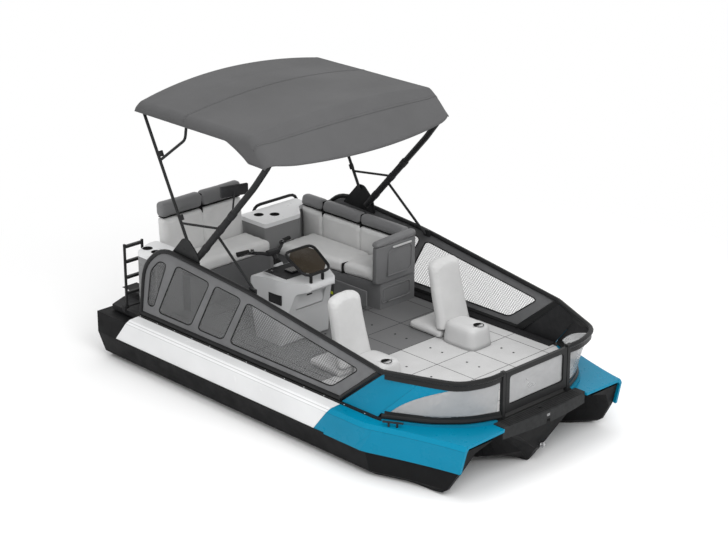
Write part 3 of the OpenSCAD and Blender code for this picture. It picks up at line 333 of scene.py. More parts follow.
def gel_coat(name, color, rough=0.22, coat=0.2, shine=0.2, shaded_crease_heights=()):
    """A gloss moulding, with thin lines of painted shade at the given crease heights."""
    r = Recipe(name, color, rough, coat=coat, coat_rough=0.1, specular=shine)
    tone = r.blend(r.between(r.noise(2.3, 4.0), 0.35, 0.75), color, shade(color, 0.92))
    height = r.axes()[2] if shaded_crease_heights else None
    for z in shaded_crease_heights:
        # Painted shade: a thin line at 0.62 of the colour at each crease height.
        line = r.math("LESS_THAN", r.math("ABSOLUTE", r.math("SUBTRACT", height, z)), CREASE_SHADE_HALF)
        tone = r.blend(line, tone, shade(color, 0.62))
    r.drive("Base Color", tone).dulled(9.0, 5.0, 0.85, 1.3)
    return r.bump(r.noise(5.5, 1.0), 0.0006, 0.5).bump(r.noise(190.0, 2.0), 0.00006, 0.4).mat


def two_tone_coat(name, upper, lower, split, rough=0.3):
    """A gloss moulding with a second colour below the height called split."""
    r = Recipe(name, upper, rough, coat=0.2, coat_rough=0.1, specular=0.2)
    r.drive("Base Color", r.blend(r.math("GREATER_THAN", r.axes()[2], split), lower, upper))
    r.dulled(9.0, 5.0, 0.85, 1.5)
    return r.bump(r.noise(5.5, 1.0), 0.0006, 0.5).bump(r.cells(600.0), 0.00008, 0.4).mat


hull_black = gel_coat("hull_black", (0.007, 0.007, 0.0075), rough=0.46, coat=0.0, shine=0.08)
# The covers' crease heights get lines of painted shade.
cover_white = gel_coat("cover_white", (0.76, 0.765, 0.77), shaded_crease_heights=(0.474, 0.452))
cover_blue = gel_coat("cover_blue", (0.0005, 0.2, 0.335), rough=0.28, coat=0.06, shine=0.1, shaded_crease_heights=(0.452,))
console_grey = gel_coat("console_grey", (0.52, 0.525, 0.53), rough=0.34, coat=0.15)
table_white = two_tone_coat("table_white", (0.74, 0.745, 0.75), (0.21, 0.211, 0.213), split=1.046)
seat_moulding = gel_coat("seat_moulding", (0.52, 0.52, 0.52), rough=0.34, coat=0.1)
gloss_black = gel_coat("gloss_black", (0.01, 0.01, 0.011), rough=0.16, coat=0.4)
print("gloss mouldings:", [m.name for m in (hull_black, cover_white, cover_blue, console_grey, table_white)])

# %% [markdown]
# Bumper strips, sills and the bow step are textured moulded plastic: a fine pebble from a cell pattern,
# matt, and worn a little paler on its high spots. The tubes and the side screens are powder coated, which
# is smoother, with a fine orange peel.

# %% Textured plastic and powder coat
def moulded(name, color, pebble=900.0, depth=0.00012, rough=0.55):
    r = Recipe(name, color, rough, specular=0.12)
    r.cloudy(14.0, 4.0, 1.35, low=0.35).dulled(30.0, 3.0, 0.88, 1.15)
    return r.bump(r.cells(pebble), depth, 0.6).mat


def powder_coat(name, color, rough=0.36):
    r = Recipe(name, color, rough, coat=0.02, coat_rough=0.25, specular=0.14)
    r.cloudy(6.0, 3.0, 1.25).dulled(45.0, 3.0, 0.85, 1.2)
    return r.bump(r.noise(1500.0, 2.0), 0.00005, 0.5).mat


trim_black = moulded("trim_black", (0.018, 0.018, 0.019))
step_grey = moulded("step_grey", (0.02, 0.0205, 0.021), rough=0.62)
rubber_black = moulded("rubber_black", (0.012, 0.012, 0.012), pebble=1400.0, rough=0.7)
engine_paint = moulded("engine_paint", (0.05, 0.05, 0.055), pebble=300.0, depth=0.0004)
rail_black = powder_coat("rail_black", (0.0125, 0.0127, 0.013))
frame_dark = powder_coat("frame_dark", (0.014, 0.0145, 0.015), rough=0.42)
screen_grey = powder_coat("screen_grey", (0.125, 0.126, 0.129), rough=0.5)
print("plastics and coats ready")

# %% [markdown]
# Marine vinyl has a fine leather grain: rounded cells with creases between them. The grain is only a tenth
# of a millimetre deep, so it shows as a soft break in the highlight. A broad noise shifts the tone, as skin
# oil and sun do.

# %% Marine vinyl
def vinyl(name, color, rough=0.42):
    r = Recipe(name, color, rough, sheen=0.05, sheen_rough=0.5, specular=0.3)
    r.cloudy(5.0, 4.0, 0.9).dulled(22.0, 3.0, 0.85, 1.18)
    return r.bump(r.noise(60.0, 4.0), 0.0004, 0.4).bump(r.cells(720.0), 0.00012, 0.6).mat


vinyl_light = vinyl("vinyl_light", (0.68, 0.68, 0.675))
vinyl_bow = vinyl("vinyl_bow", (0.55, 0.55, 0.548))
vinyl_dark = vinyl("vinyl_dark", (0.175, 0.176, 0.179))
vinyl_base = vinyl("vinyl_base", (0.15, 0.151, 0.154))
print("vinyls ready")

# %% [markdown]
# The sun top is woven canvas. Two wave patterns at right angles make the warp and the weft, and their sum
# is the height of the threads. Larger noise gives the slightly cloudy tone of dyed cloth.

# %% Canvas
def canvas(name, color, threads=420.0):
    r = Recipe(name, color, 0.9, sheen=0.04, sheen_rough=0.6, specular=0.15)
    r.cloudy(1.6, 5.0, 0.84, high=0.72)
    weave = r.math("ADD", r.wave(threads, "X"), r.wave(threads, "Y"))
    return r.bump(r.noise(7.0, 3.0), 0.002, 0.35).bump(weave, 0.00025, 0.6).mat


canvas_grey = canvas("canvas_grey", (0.094, 0.094, 0.096))
print("canvas ready")

# %% [markdown]
# The bow eye, the sill screws and the mirror's face are polished stainless steel, and the jet parts are cast
# aluminium with a rougher skin.

# %% Metals
def bare_metal(name, color, rough, skin_depth=0.0):
    r = Recipe(name, color, rough, metal=1.0)
    r.cloudy(12.0, 4.0, 0.82).dulled(80.0, 4.0, 0.7, 1.4)
    if skin_depth:
        r.bump(r.noise(420.0, 4.0), skin_depth, 0.7)
    return r.mat


steel = bare_metal("steel", (0.62, 0.62, 0.63), 0.2)
cast_aluminium = bare_metal("cast_aluminium", (0.42, 0.43, 0.44), 0.5, skin_depth=0.0003)
print("metals ready")

# %% [markdown]
# The bow windows are clear vinyl, and the wind deflector is smoked. Both are thin, so they are made
# see-through with a low alpha rather than with true refraction, which a thin sheet hardly has. A fine
# scratch pattern keeps them from looking like nothing. The side windows are woven screen, with a bolder
# crossed pattern printed on it.

# %% Clear, smoked and woven sheet
def clear_sheet(name, color, alpha, rough=0.06):
    r = Recipe(name, color, rough, alpha=alpha, coat=0.15, coat_rough=0.03, specular=0.25)
    scratches = r.noise(6.0, 3.0, where=r.at(scale=(1, 1, 28), turn=(0.2, 0.1, 0)))
    r.drive("Roughness", r.between(scratches, 0.35, 0.75, rough, rough * 3.0))
    r.drive("Alpha", r.between(r.noise(3.0, 4.0), 0.35, 0.7, alpha, min(1.0, alpha * 1.35)))
    return r.bump(r.noise(4.0, 2.0), 0.0015, 0.25).mat


def mesh_screen(name, color, alpha, pitch=0.021, lean=math.radians(35)):
    """Woven screen in a plane of constant y, with lines that cross at twice the lean."""
    r = Recipe(name, color, 0.6, specular=0.2)
    one, two = [r.wave(0.314 / pitch, "X", where=r.at(turn=(0, way * lean, 0))) for way in (1, -1)]
    printed = r.between(r.math("MAXIMUM", one, two), 0.55, 0.9)
    holes = r.between(r.noise(900.0, 1.0), 0.3, 0.7, -0.03, 0.03)
    cover = r.between(printed, 0.0, 1.0, alpha * 0.6, alpha * 1.8)
    r.drive("Base Color", r.blend(printed, color, shade(color, 1.5)))
    r.drive("Alpha", r.math("ADD", cover, holes, clamp=True))
    return r.bump(printed, 0.0003, 0.5).mat


mesh_grey = mesh_screen("mesh_grey", (0.14, 0.141, 0.143), 0.2)
window_clear = clear_sheet("window_clear", (0.36, 0.365, 0.37), 0.5)
smoke_sheet = clear_sheet("smoke_sheet", (0.045, 0.036, 0.026), 0.72)
print("sheets ready")

# %% [markdown]
# ## The sun top
#
# The real top is one piece of canvas stretched over four hoops. It is crowned across the boat, rolls down
# over its sides and ends in a hem, and its front falls away in a soft crease, with its front corners
# rounded off. A shape like that follows a rule, so the cloth is a grid of points: each column runs across
# the boat, and each row from the stern forward. Between two hoops the cloth sags a few millimetres.

# %% The cloth's rule
top_low, top_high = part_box("canopy")
cloth_aft, cloth_front, cloth_half, cloth_top = top_low.x, top_high.x, top_high.y, top_high.z
fall_x = cloth_aft + 1.625
hem_line = [(cloth_aft, 2.425), (-0.4, 2.425), (-0.06, 2.29), (cloth_front, 2.285)]
hoop_places = [cloth_aft + 0.12, -0.96, 0.04]
crown_share, bend_share = 0.78, 0.55
edge_round, edge_drop = 0.07, 0.075


def share(value, start, end):
    """0 before start, 1 at end, and growing evenly from start on."""
    return max(0.0, (value - start) / (end - start))


def hem_height(x):
    return float(np.interp(x, [p[0] for p in hem_line], [p[1] for p in hem_line]))


def crown_height(x, y):
    """The height of the cloth's top, before it rolls over its sides."""
    v = y / cloth_half
    roll = share(-x, -cloth_aft - 0.09, -cloth_aft)
    gap = min(abs(x - hoop) for hoop in hoop_places)
    sag = 0.006 * min(1.0, gap / 0.35) ** 2 * (1 - v * v)
    fall = (0.33 - 0.14 * v * v) * share(x, fall_x, cloth_front) ** 1.25
    return cloth_top - 0.003 - 0.095 * v * v - fall - 0.045 * roll ** 2 - sag


def cloth_point(x, turn):
    """A point of the cloth: turn runs from -1 at the starboard hem to 1 at the port hem."""
    flat = cloth_half - edge_drop
    side = share(abs(turn), crown_share, 1.0)
    if side == 0:
        y = flat * turn / crown_share
        z = crown_height(x, y)
    else:
        bend = min(1.0, side / bend_share) * math.pi / 2
        edge = crown_height(x, flat)
        hem = min(edge - 0.03, hem_height(x))
        y = (flat + edge_round * math.sin(bend)) * math.copysign(1, turn)
        down = min(edge_round, edge - hem)
        z = edge - down * (1 - math.cos(bend)) - share(side, bend_share, 1.0) * (edge - hem - down)
    v = (y / cloth_half) ** 2
    corner = share(abs(y) / cloth_half, 0.76, 1.0) ** 2
    x -= 0.12 * v * share(x, fall_x - 0.2, cloth_front)
    x -= 0.12 * corner * share(x, fall_x - 0.1, cloth_front)
    x += 0.10 * v * share(-x, -cloth_aft - 0.35, -cloth_aft)
    return Vector((x, y, z))


def spread(*stretches):
    """Even steps over a row of stretches, each (start, end, count), without doubling where they meet."""
    out = [stretches[0][0]]
    for start, end, count in stretches:
        out += list(np.linspace(start, end, count))[1:]
    return out


rows = spread((cloth_aft, cloth_aft + 0.1, 8), (cloth_aft + 0.1, cloth_front, 74))
turns = spread((-1, -crown_share, 16), (-crown_share, crown_share, 56), (crown_share, 1, 16))
grid = [[cloth_point(x, t) for t in turns] for x in rows]
print("cloth grid", len(rows), "by", len(turns))

# %% [markdown]
# The grid becomes one surface, with a wall as thick as canvas. It is measured before it gets its wall: the
# length of a middle row is the width that it was cut to, and the length of the middle column is how far it
# reaches along the boat.

# %% The cloth
count = len(turns)
quads = [((i + 1) * count + j, (i + 1) * count + j + 1, i * count + j + 1, i * count + j)
         for i in range(len(rows) - 1) for j in range(count - 1)]


def face_up(obj):
    """Turns a sheet over if its middle face looks down."""
    if obj.data.polygons[len(obj.data.polygons) // 2].normal.z < 0:
        obj.data.flip_normals()
    return obj


sun_top = face_up(piece_from("sun_top", [p for row in grid for p in row], quads))
across = sum((a - b).length for a, b in zip(grid[40], grid[40][1:]))
along = sum((a[count // 2] - b[count // 2]).length for a, b in zip(grid, grid[1:]))
modified(sun_top, "SOLIDIFY", thickness=0.0022, offset=-1.0)

# %% [markdown]
# The hem is the cloth folded over a cord, so it shows as a thin roll along the whole edge. Two flat seams
# cross the top over the hoops, where the panels of canvas are joined.

# %% Hem and seams
seam_width, hem_fold = 0.022, 0.02
edge = [row[0] for row in grid] + grid[-1][1:] + [row[-1] for row in grid[::-1]][1:] + grid[0][::-1][1:-1]
hem = fit_out(tube("sun_top_hem", edge, 0.0048, sides=8, closed=True), "boat", "canopy_cloth", canvas_grey)


def seam_strip(place):
    """A flat strip across the cloth, over a hoop."""
    raised = Vector((0, 0, 0.0008))
    row, ahead = [[cloth_point(x, t) + raised for t in turns[8:-8]] for x in (place, place + seam_width)]
    n = len(row)
    strip = face_up(piece_from("strip", row + ahead, [(k, k + n, k + n + 1, k + 1) for k in range(n - 1)]))
    return modified(strip, "SOLIDIFY", thickness=0.0016, offset=0.0)


top_seams = shade_smooth(join("sun_top_seams", [seam_strip(place) for place in hoop_places[1:]]))
fit_out(top_seams, "boat", "canopy_cloth", canvas_grey)
fit_out(sun_top, "boat", "canopy_cloth", canvas_grey)
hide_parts("canopy")
print("hem and", len(hoop_places) - 1, "seams")

# %% [markdown]
# ## Upholstery
#
# Each cushion is vinyl stretched over foam. It starts as a solid of the frame's size with rounded edges, is
# remeshed to even small faces, and is then blown up a little by Blender's cloth solver with gravity off, so
# that its faces crown and its sides pull in between the corners. The swell is capped, and the underside
# stays flat where it rests. Sewn channels come last, since remeshing would lose them.

# %% Solids to start from
def prism(name, outline, axis, a, b, edge=0.024):
    """A solid with the given outline, from a to b along an axis, with rounded edges."""
    def place(p, t):
        return {"x": (t, p[0], p[1]), "y": (p[0], t, p[1]), "z": (p[0], p[1], t)}[axis]
    n = len(outline)
    verts = [place(p, t) for t in (a, b) for p in outline]
    faces = [tuple(range(n)), tuple(range(n, 2 * n))[::-1]]
    faces += [(k, n + k, n + (k + 1) % n, (k + 1) % n) for k in range(n)]
    obj = outward(piece_from(name, verts, faces, smooth=False))
    return bevelled(obj, edge, 4) if edge else obj


def coordinates(mesh, key="co"):
    flat = np.empty(len(mesh.vertices) * 3)
    mesh.vertices.foreach_get(key, flat)
    return flat.reshape(-1, 3)


print("solids ready")

# %% [markdown]
# The cloth solver runs for twelve frames with a pressure inside the pad. No point may move further than the
# swell, and a subdivision at the end rounds what the remesh left.

# %% From solid to cushion
PRESSURE, LAST_FRAME, FILL = 4.0, 12, 0.85
CHANNEL_WIDTH, CHANNEL_DEPTH = 0.010, 0.010


def inflate(pad):
    """Blows a pad up with the cloth solver, and applies the result."""
    foam = pad.modifiers.new("foam", "CLOTH")
    foam.settings.use_pressure = True
    foam.settings.uniform_pressure_force = PRESSURE
    foam.settings.effector_weights.gravity = 0.0
    foam.settings.quality = 4
    for frame_number in range(1, LAST_FRAME + 1):
        scene.frame_set(frame_number)
    bake_modifiers(pad)
    scene.frame_set(1)


def upholster(name, pad, swell=0.010, grain=0.011, floor=None, channel=None):
    """Turns a solid into a padded cushion. A channel is the y of a line sewn across the pad."""
    modified(pad, "REMESH", mode="VOXEL", voxel_size=grain)
    modified(pad, "SMOOTH", factor=0.5, iterations=4)
    start = coordinates(pad.data)
    inflate(pad)
    move = coordinates(pad.data) - start
    length = np.linalg.norm(move, axis=1, keepdims=True)
    points = start + move * np.minimum(1.0, swell / np.maximum(length, 1e-9))
    if channel is not None:
        away = (points[:, 1] - channel) / CHANNEL_WIDTH
        points -= coordinates(pad.data, "normal") * CHANNEL_DEPTH * np.exp(-away * away)[:, None]
    if floor is not None:
        points[:, 2] = np.maximum(points[:, 2], floor)
    pad.data.vertices.foreach_set("co", points.ravel())
    pad.data.update()
    modified(pad, "SUBSURF", levels=1, render_levels=1)
    pad.name = pad.data.name = name
    shade_smooth(pad)
    return pad


print("upholstery ready, with", LAST_FRAME, "frames of cloth")

# %% [markdown]
# The driver's bench runs across the stern: one long cushion with a sewn line in the middle, and two
# backrests. Each backrest has a light panel below and a darker roll along the top.

# %% Driver's bench
def inset_box(node, by=0.006):
    low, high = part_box(node)
    return low + Vector((by, by, by)), high - Vector((by, by, by))


def on_line(value, line):
    """The height of a straight line, given by two points, at a value."""
    (a, at_a), (b, at_b) = line
    return at_a + (at_b - at_a) * (value - a) / (b - a)


low, high = inset_box("driver_cushion")
seat = prism("seat", corners(low.x, low.y, high.x, high.y), "z", low.z, high.z, 0.03)
driver_seat = upholster("driver_seat", seat, swell=0.012, floor=low.z - 0.005, channel=(low.y + high.y) / 2)
fit_out(driver_seat, "boat", "seat_light", vinyl_light)
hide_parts("driver_cushion")

back_low, back_high = inset_box("driver_backrest")
back_middle, back_split, half_gap = (back_low.y + back_high.y) / 2, 1.305, 0.008
back_front = [(back_low.z, back_high.x), (back_high.z, back_high.x - 0.042)]
back_aft = [(back_low.z, back_low.x + 0.035), (back_high.z, back_low.x)]


def back_point(z, line, out=0.0, up=0.0):
    """A point on the front or aft line of the backrest, moved out along x and up."""
    return on_line(z, line) + out, z + up


panel = [back_point(back_low.z, back_aft), back_point(back_low.z, back_front),
         back_point(back_split, back_front), back_point(back_split, back_aft)]
roll = [back_point(back_split, back_aft, -0.002, 0.005), back_point(back_split, back_front, 0.012, 0.005),
        back_point(back_high.z, back_front, 0.004), back_point(back_high.z, back_aft)]
halves = [(back_low.y, back_middle - half_gap), (back_middle + half_gap, back_high.y)]
panels = join("panels", [prism("back", panel, "y", y0, y1, 0.022) for y0, y1 in halves])
rolls = join("rolls", [prism("roll", roll, "y", y0 - 0.003, y1 + 0.003, 0.034) for y0, y1 in halves])
driver_back = fit_out(upholster("driver_back_panels", panels), "boat", "seat_light", vinyl_light)
fit_out(upholster("driver_back_rolls", rolls), "boat", "seat_dark", vinyl_dark)
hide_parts("driver_backrest")
print("driver's bench:", len(driver_seat.data.polygons) + len(driver_back.data.polygons), "faces")

# %% [markdown]
# The port bench has an angled front edge and two seat cushions, three backrest panels with a dark roll
# above them, and an end panel whose top is a padded arm.

# %% Port bench
seat_low, seat_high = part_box("bench_cushions")
seam, seat_inset = -0.65, 0.006
bench_front = [(seat_low.x, 0.360), (seat_high.x, 0.500)]


def bench_seat_half(x0, x1):
    front = [(x, on_line(x, bench_front) + seat_inset) for x in (x0, x1)]
    outline = front + [(x1, seat_high.y - seat_inset), (x0, seat_high.y - seat_inset)]
    return prism("seat", outline, "z", seat_low.z + 0.005, seat_high.z - 0.007, 0.03)


seats = [bench_seat_half(seat_low.x + seat_inset, seam - seat_inset),
         bench_seat_half(seam + seat_inset, seat_high.x - seat_inset)]
bench_seat = upholster("bench_seat", join("seats", seats), swell=0.012, floor=seat_low.z)
fit_out(bench_seat, "boat", "seat_light", vinyl_light)
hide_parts("bench_cushions")

low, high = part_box("bench_backrest")
cuts = [low.x, -1.332, -0.820, high.x]
back_outline = [(0.863, 0.885), (0.863, 0.771), (0.957, 0.771), (0.961, 1.094), (0.853, 1.094)]
roll_outline = [(0.845, 1.102), (0.962, 1.102), (0.965, 1.196), (0.868, 1.204)]
backs = [prism("back", back_outline, "x", x0 + 0.007, x1 - 0.007, 0.02) for x0, x1 in zip(cuts, cuts[1:])]
rolls = [prism("roll", roll_outline, "x", x0 + 0.005, x1 - 0.005, 0.032) for x0, x1 in zip(cuts, cuts[1:])]
bench_back = fit_out(upholster("bench_back_panels", join("backs", backs)), "boat", "seat_light", vinyl_light)
fit_out(upholster("bench_back_rolls", join("rolls", rolls)), "boat", "seat_dark", vinyl_dark)
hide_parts("bench_backrest")
print("port bench:", len(seats), "cushions,", len(backs), "backs")

# %% [markdown]
# The arm's pad is a cushion like the others. The panel below it is a hard shell covered in vinyl, with a
# raised lip round its face and a pale grab handle near the top.

# %% Arm
low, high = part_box("bench_armrest")
arm_outline = [(0.452, 1.125), (0.462, 1.178), (0.965, 1.196), (0.965, 1.128)]
arm = prism("arm", arm_outline, "x", low.x - 0.012, high.x + 0.014, 0.03)
fit_out(upholster("arm_pad", arm, swell=0.006), "boat", "seat_dark", vinyl_dark)
shell_outline = [(0.462, 0.787), (0.522, 0.768), (0.960, 0.768), (0.964, 1.124), (0.468, 1.124)]
shell = prism("shell", shell_outline, "x", low.x + 0.002, high.x - 0.002, 0.012)
lip_line = [(0.60, 0.83), (0.905, 0.83), (0.915, 1.07), (0.62, 1.07), (0.60, 0.83)]
lip = tube("lip", rounded([(high.x - 0.001, y, z) for y, z in lip_line], 0.045), 0.009, sides=10)
handle_outline = corners(0.66, 1.085, 0.90, 1.104)
arm_handle = prism("arm_handle", handle_outline, "x", high.x + 0.002, high.x + 0.016, 0.006)
arm_shell = fit_out(shade_smooth(join("arm_shell", [shell, lip])), "boat", "seat_dark", vinyl_base)
fit_out(arm_handle, "boat", "seat_light", seat_moulding)
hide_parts("bench_armrest")
print("arm done")

# %% [markdown]
# Every gap between two cushions, and between each back and the roll above it, is filled with a plain dark
# web, set back from the faces of the cushions. The web is painted shade for the fold between them.

# %% Painted shade in the seams
# Dark webs in the gaps of the port bench: painted shade for its folds.
fold_shade_outline = [(0.875, 0.79), (0.865, 1.094), (0.877, 1.19), (0.955, 1.19), (0.955, 0.79)]
fold_shade_webs = [prism("fold_shade_web", fold_shade_outline, "x", cut - 0.0035, cut + 0.0035, 0) for cut in cuts[1:3]]
fold_shade_webs += [block("fold_shade_web", (cuts[0] + 0.02, 0.864, 1.0955), (cuts[3] - 0.02, 0.955, 1.1015), 0),
          block("fold_shade_web", (seam - 0.0035, on_line(seam, bench_front) + 0.016, seat_low.z + 0.004),
                (seam + 0.0035, 0.79, seat_high.z - 0.015), 0)]
fit_out(join("bench_fold_shade", fold_shade_webs), "boat", "seat_dark", rubber_black)
# The same painted shade in the driver's backrest, between its halves and under its rolls.
driver_fold_shade_outline = [back_point(back_low.z, back_front, -0.014, 0.02), back_point(back_high.z, back_front, -0.010, -0.02),
        back_point(back_high.z, back_aft, 0.01, -0.02), back_point(back_low.z, back_aft, 0.01, 0.02)]
fold_shade_webs = [prism("fold_shade_web", driver_fold_shade_outline, "y", back_middle - 0.004, back_middle + 0.004, 0),
         block("fold_shade_web", (on_line(back_split, back_aft) + 0.012, back_low.y + 0.02, back_split - 0.001),
               (on_line(back_split, back_front) - 0.008, back_high.y - 0.02, back_split + 0.006), 0)]
fit_out(join("driver_back_fold_shade", fold_shade_webs), "boat", "seat_dark", rubber_black)
print("seam cords ready")

# %% [markdown]
# Each of the two bow seats has a flat pad on the deck, a tall back that leans aft with a rounded top, and a
# moulded pod with a cup holder. The backs are lofts of rounded sections, so that their tops close in a soft
# arch.

# %% Bow seats
def rounded_ring(half_u, half_v, power, count=48):
    """Points of a rectangle with round corners; the higher the power, the squarer it is."""
    out = []
    for c, s in round_points(count):
        r = (abs(c / half_u) ** power + abs(s / half_v) ** power) ** (-1 / power)
        out.append((r * c, r * s))
    return out


def bow_back(side):
    """One seat back, as sections from its foot to its top. Its last fifth closes to the arch."""
    rings = []
    for t in np.linspace(0, 1, 26):
        centre = 0.632 - 0.150 * t - 0.015 * math.sin(math.pi * t)
        close = share(t, 0.80, 1.0)
        wide = max(0.06, (0.192 - 0.020 * t) * (1 - close ** 3.2) ** (1 / 2.6))
        thick = max(0.018, (0.054 - 0.006 * t) * (1 - close ** 4) ** 0.5)
        section = rounded_ring(thick, wide, 5)
        rings.append([(centre + u, side * (0.6 + v), 0.606 + 0.606 * t) for u, v in section])
    return skin("bow_back", rings)


backs = join("backs", [bow_back(1), bow_back(-1)])
bow_backs = upholster("bow_seat_back_pads", backs, swell=0.009, grain=0.010, floor=0.6)
fit_out(bow_backs, "boat", "seat_light", vinyl_bow)
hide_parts("bow_seat_backs")
low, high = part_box("bow_seat_pads")
pads = [prism("pad", corners(low.x + 0.006, y0, high.x - 0.006, y1), "z", 0.524, 0.592, 0.026)
        for y0, y1 in ((0.406, 0.794), (-0.794, -0.406))]
bow_pads = upholster("bow_seat_pad_cushions", join("pads", pads), swell=0.008, floor=0.5205)
fit_out(bow_pads, "boat", "seat_light", vinyl_bow)
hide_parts("bow_seat_pads")
print("bow seats: 2 backs, 2 pads")

# %% [markdown]
# A pod is one skin that runs up its outside, over its soft top and down into the cup holder. Every cup
# holder also has a dark liner with a thin flange, which is turned from a short profile.

# %% Pods and cup liners
pod_x, pod_y, cup_x, cup_y, pod_top = 0.843, 0.545, 0.960, 0.560, 0.7115


def circle(x, y, r, z, count):
    return [(x + r * c, y + r * s, z) for c, s in round_points(count)]


def bow_pod(side, count=64):
    """A moulded pod: up the outside, over its soft top, and down into the cup holder."""
    outside = ((0.5205, 0.0), (0.56, 0.004), (0.64, 0.012), (0.675, 0.018), (0.697, 0.030), (0.708, 0.050),
               (pod_top, 0.075))
    rings = [[(pod_x + u, pod_y + v, z) for u, v in rounded_ring(0.194 - shrink, 0.144 - shrink, 4.5, count)]
             for z, shrink in outside]
    rim = circle(cup_x, cup_y, 0.049, pod_top, count)
    rings += [[tuple((np.array(a) + np.array(b)) / 2) for a, b in zip(rings[-1], rim)], rim]
    for r, z in ((0.0455, 0.7095), (0.0425, 0.704), (0.0422, 0.66), (0.0420, 0.638), (0.034, 0.636)):
        rings.append(circle(cup_x, cup_y, r, z, count))
    return skin("pod", [[(x, side * y, z) for x, y, z in ring] for ring in rings])


def cup_liner(x, y, top):
    """A dark cup: a flange on the surface, and a wall and a floor inside the hole."""
    profile = [(0.0413, -0.0668), (0.0413, 0.0004), (0.0470, 0.0004), (0.0470, 0.0018), (0.0400, 0.0024),
               (0.0385, -0.0020), (0.0380, -0.0640)]
    return skin("cup", [circle(x, y, r, top + h, 48) for r, h in profile])


table_top = 1.085
table_cups = [(-1.705, 0.4), (-1.61, 0.515), (-1.72, -0.915), (-1.595, -0.915)]
cup_places = [(x, y, table_top) for x, y in table_cups] + [(cup_x, s * cup_y, pod_top) for s in (1, -1)]
fit_out(join("cup_liners", [cup_liner(*p) for p in cup_places]), "boat", "trim_black", rubber_black)
pods = shade_smooth(join("bow_pods", [bow_pod(1), bow_pod(-1)]))
fit_out(pods, "boat", "console_grey", seat_moulding)
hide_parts("bow_seat_pods")
print("pods and", len(cup_places), "cup liners")

# %% [markdown]
# ## Finishes on the frame's own pieces
#
# A piece of the frame whose shape is right keeps it and only takes a finish. The deck is one of them, but
# it carries two kinds of mat, so its finish draws them: square tiles with dark seams, light towards the bow
# and grey aft. The mats end a little inside the fences, where a black rim shows, and the deck's corners
# outside the bow fence are blue.

# %% The deck's mats
TILE, TILE_X, TILE_Y, SEAM = 0.43, 0.565, 0.01, 0.0032
RIB_PITCH = 0.011
deck_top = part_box("deck")[1].z
mat_half, mat_front = 1.035, 1.99
fence_line = [(1.43, mat_half), (1.77, 0.865), (mat_front, 0.64), (2.075, 0.40)]


def deck_tiles(name, light, grey, line, edge):
    r = Recipe(name, light, 0.62, specular=0.25)
    x, y, z = r.axes()

    def every_tile(value, start):
        tiles = r.math("ADD", r.math("DIVIDE", r.math("SUBTRACT", value, start), TILE), 10.5)
        away = r.math("ABSOLUTE", r.math("SUBTRACT", r.math("FRACT", tiles), 0.5))
        return r.math("LESS_THAN", away, SEAM / TILE)

    seams = r.math("MAXIMUM", every_tile(x, TILE_X), every_tile(y, TILE_Y))
    tone = r.blend(r.math("GREATER_THAN", x, TILE_X), grey, light)
    speckle = r.between(r.cells(330.0), 0.1, 0.6)
    tone = r.blend(r.math("MULTIPLY", speckle, 0.16), tone, (0.05, 0.05, 0.05))
    wear = r.between(r.noise(3.0, 5.0), 0.35, 0.7)
    tone = r.blend(r.math("MULTIPLY", wear, 0.14), tone, (0.1, 0.1, 0.1))
    across = r.math("ABSOLUTE", y)
    inside = r.math("MULTIPLY", r.math("LESS_THAN", across, mat_half), r.math("LESS_THAN", x, mat_front))
    for (x0, y0), (x1, y1) in zip(fence_line, fence_line[1:]):
        lean = (y1 - y0) / (x1 - x0)
        upright = r.math("SUBTRACT", across, r.math("MULTIPLY", x, lean))
        inside = r.math("MULTIPLY", inside, r.math("LESS_THAN", upright, y0 - lean * x0))
    on_top = r.math("GREATER_THAN", z, deck_top - 0.0005)
    corner = r.math("MULTIPLY", r.math("GREATER_THAN", across, 0.45), r.math("GREATER_THAN", x, 1.44))
    rim = r.blend(corner, line, edge)
    r.drive("Base Color", r.blend(r.math("MULTIPLY", on_top, inside), rim, r.blend(seams, tone, line)))
    r.bump(r.wave(0.314 / RIB_PITCH, "Y"), 0.0006, 0.5)
    return r.bump(r.math("SUBTRACT", 1.0, seams), 0.002, 0.6).mat


deck_mats = deck_tiles("deck_mats", light=(0.60, 0.60, 0.60), grey=(0.17, 0.171, 0.173),
                       line=(0.012, 0.012, 0.012), edge=(0.001, 0.17, 0.28))
print("deck mats at height", round(deck_top, 3))

# %% [markdown]
# Every other piece of the frame takes one finish, from a list that reads like a parts sheet.

# %% Give each frame piece its finish
finishes = {
    hull_black: ["centre_hull", "starboard_hull", "port_hull"],
    cover_white: ["starboard_cover", "port_cover"],
    cover_blue: ["starboard_bow_cover", "port_bow_cover", "bow_panels"],
    step_grey: ["bow_step"],
    trim_black: ["helm_mirror", "stern_platform", "cleats", "handlebar", "reverse_bucket"],
    rail_black: ["starboard_rail", "port_rail", "starboard_bow_rail", "port_bow_rail", "bow_gate",
                 "boarding_ladder", "stern_hoop", "deflector_frame"],
    screen_grey: ["starboard_screen", "port_screen"],
    frame_dark: ["top_brackets", "main_bow", "rear_bow", "upper_bow", "top_braces", "top_struts"],
    console_grey: ["console", "glovebox_lid"],
    table_white: ["corner_table", "side_table"],
    seat_moulding: ["bow_seat_pods"],
    vinyl_base: ["driver_bench", "bench_base", "bench_armrest"],
    vinyl_light: ["driver_cushion", "bench_cushions", "bench_backrest", "bow_seat_pads", "bow_seat_backs",
                  "driver_backrest"],
    canvas_grey: ["canopy"],
    window_clear: ["bow_windows", "gate_window"],
    smoke_sheet: ["deflector"],
    steel: ["bow_eye", "impeller"],
    cast_aluminium: ["pump_housing", "steering_nozzle"],
    engine_paint: ["engine"],
    mesh_grey: ["side_meshes"],
    deck_mats: ["deck"],
}
for finish, names in finishes.items():
    for name in names:
        nodes[name].data.materials.clear()
        nodes[name].data.materials.append(finish)
print("finished", sum(len(names) for names in finishes.values()), "of", len(nodes))

# %% [markdown]
# ## Bow fence
#
# The frame's sheets are made of flat strips. Here each is copied, its doubled points are merged and it is
# shaded smooth up to a limit angle, so that it reads as one bent sheet. The panels are painted outside and
# have a black liner inside.

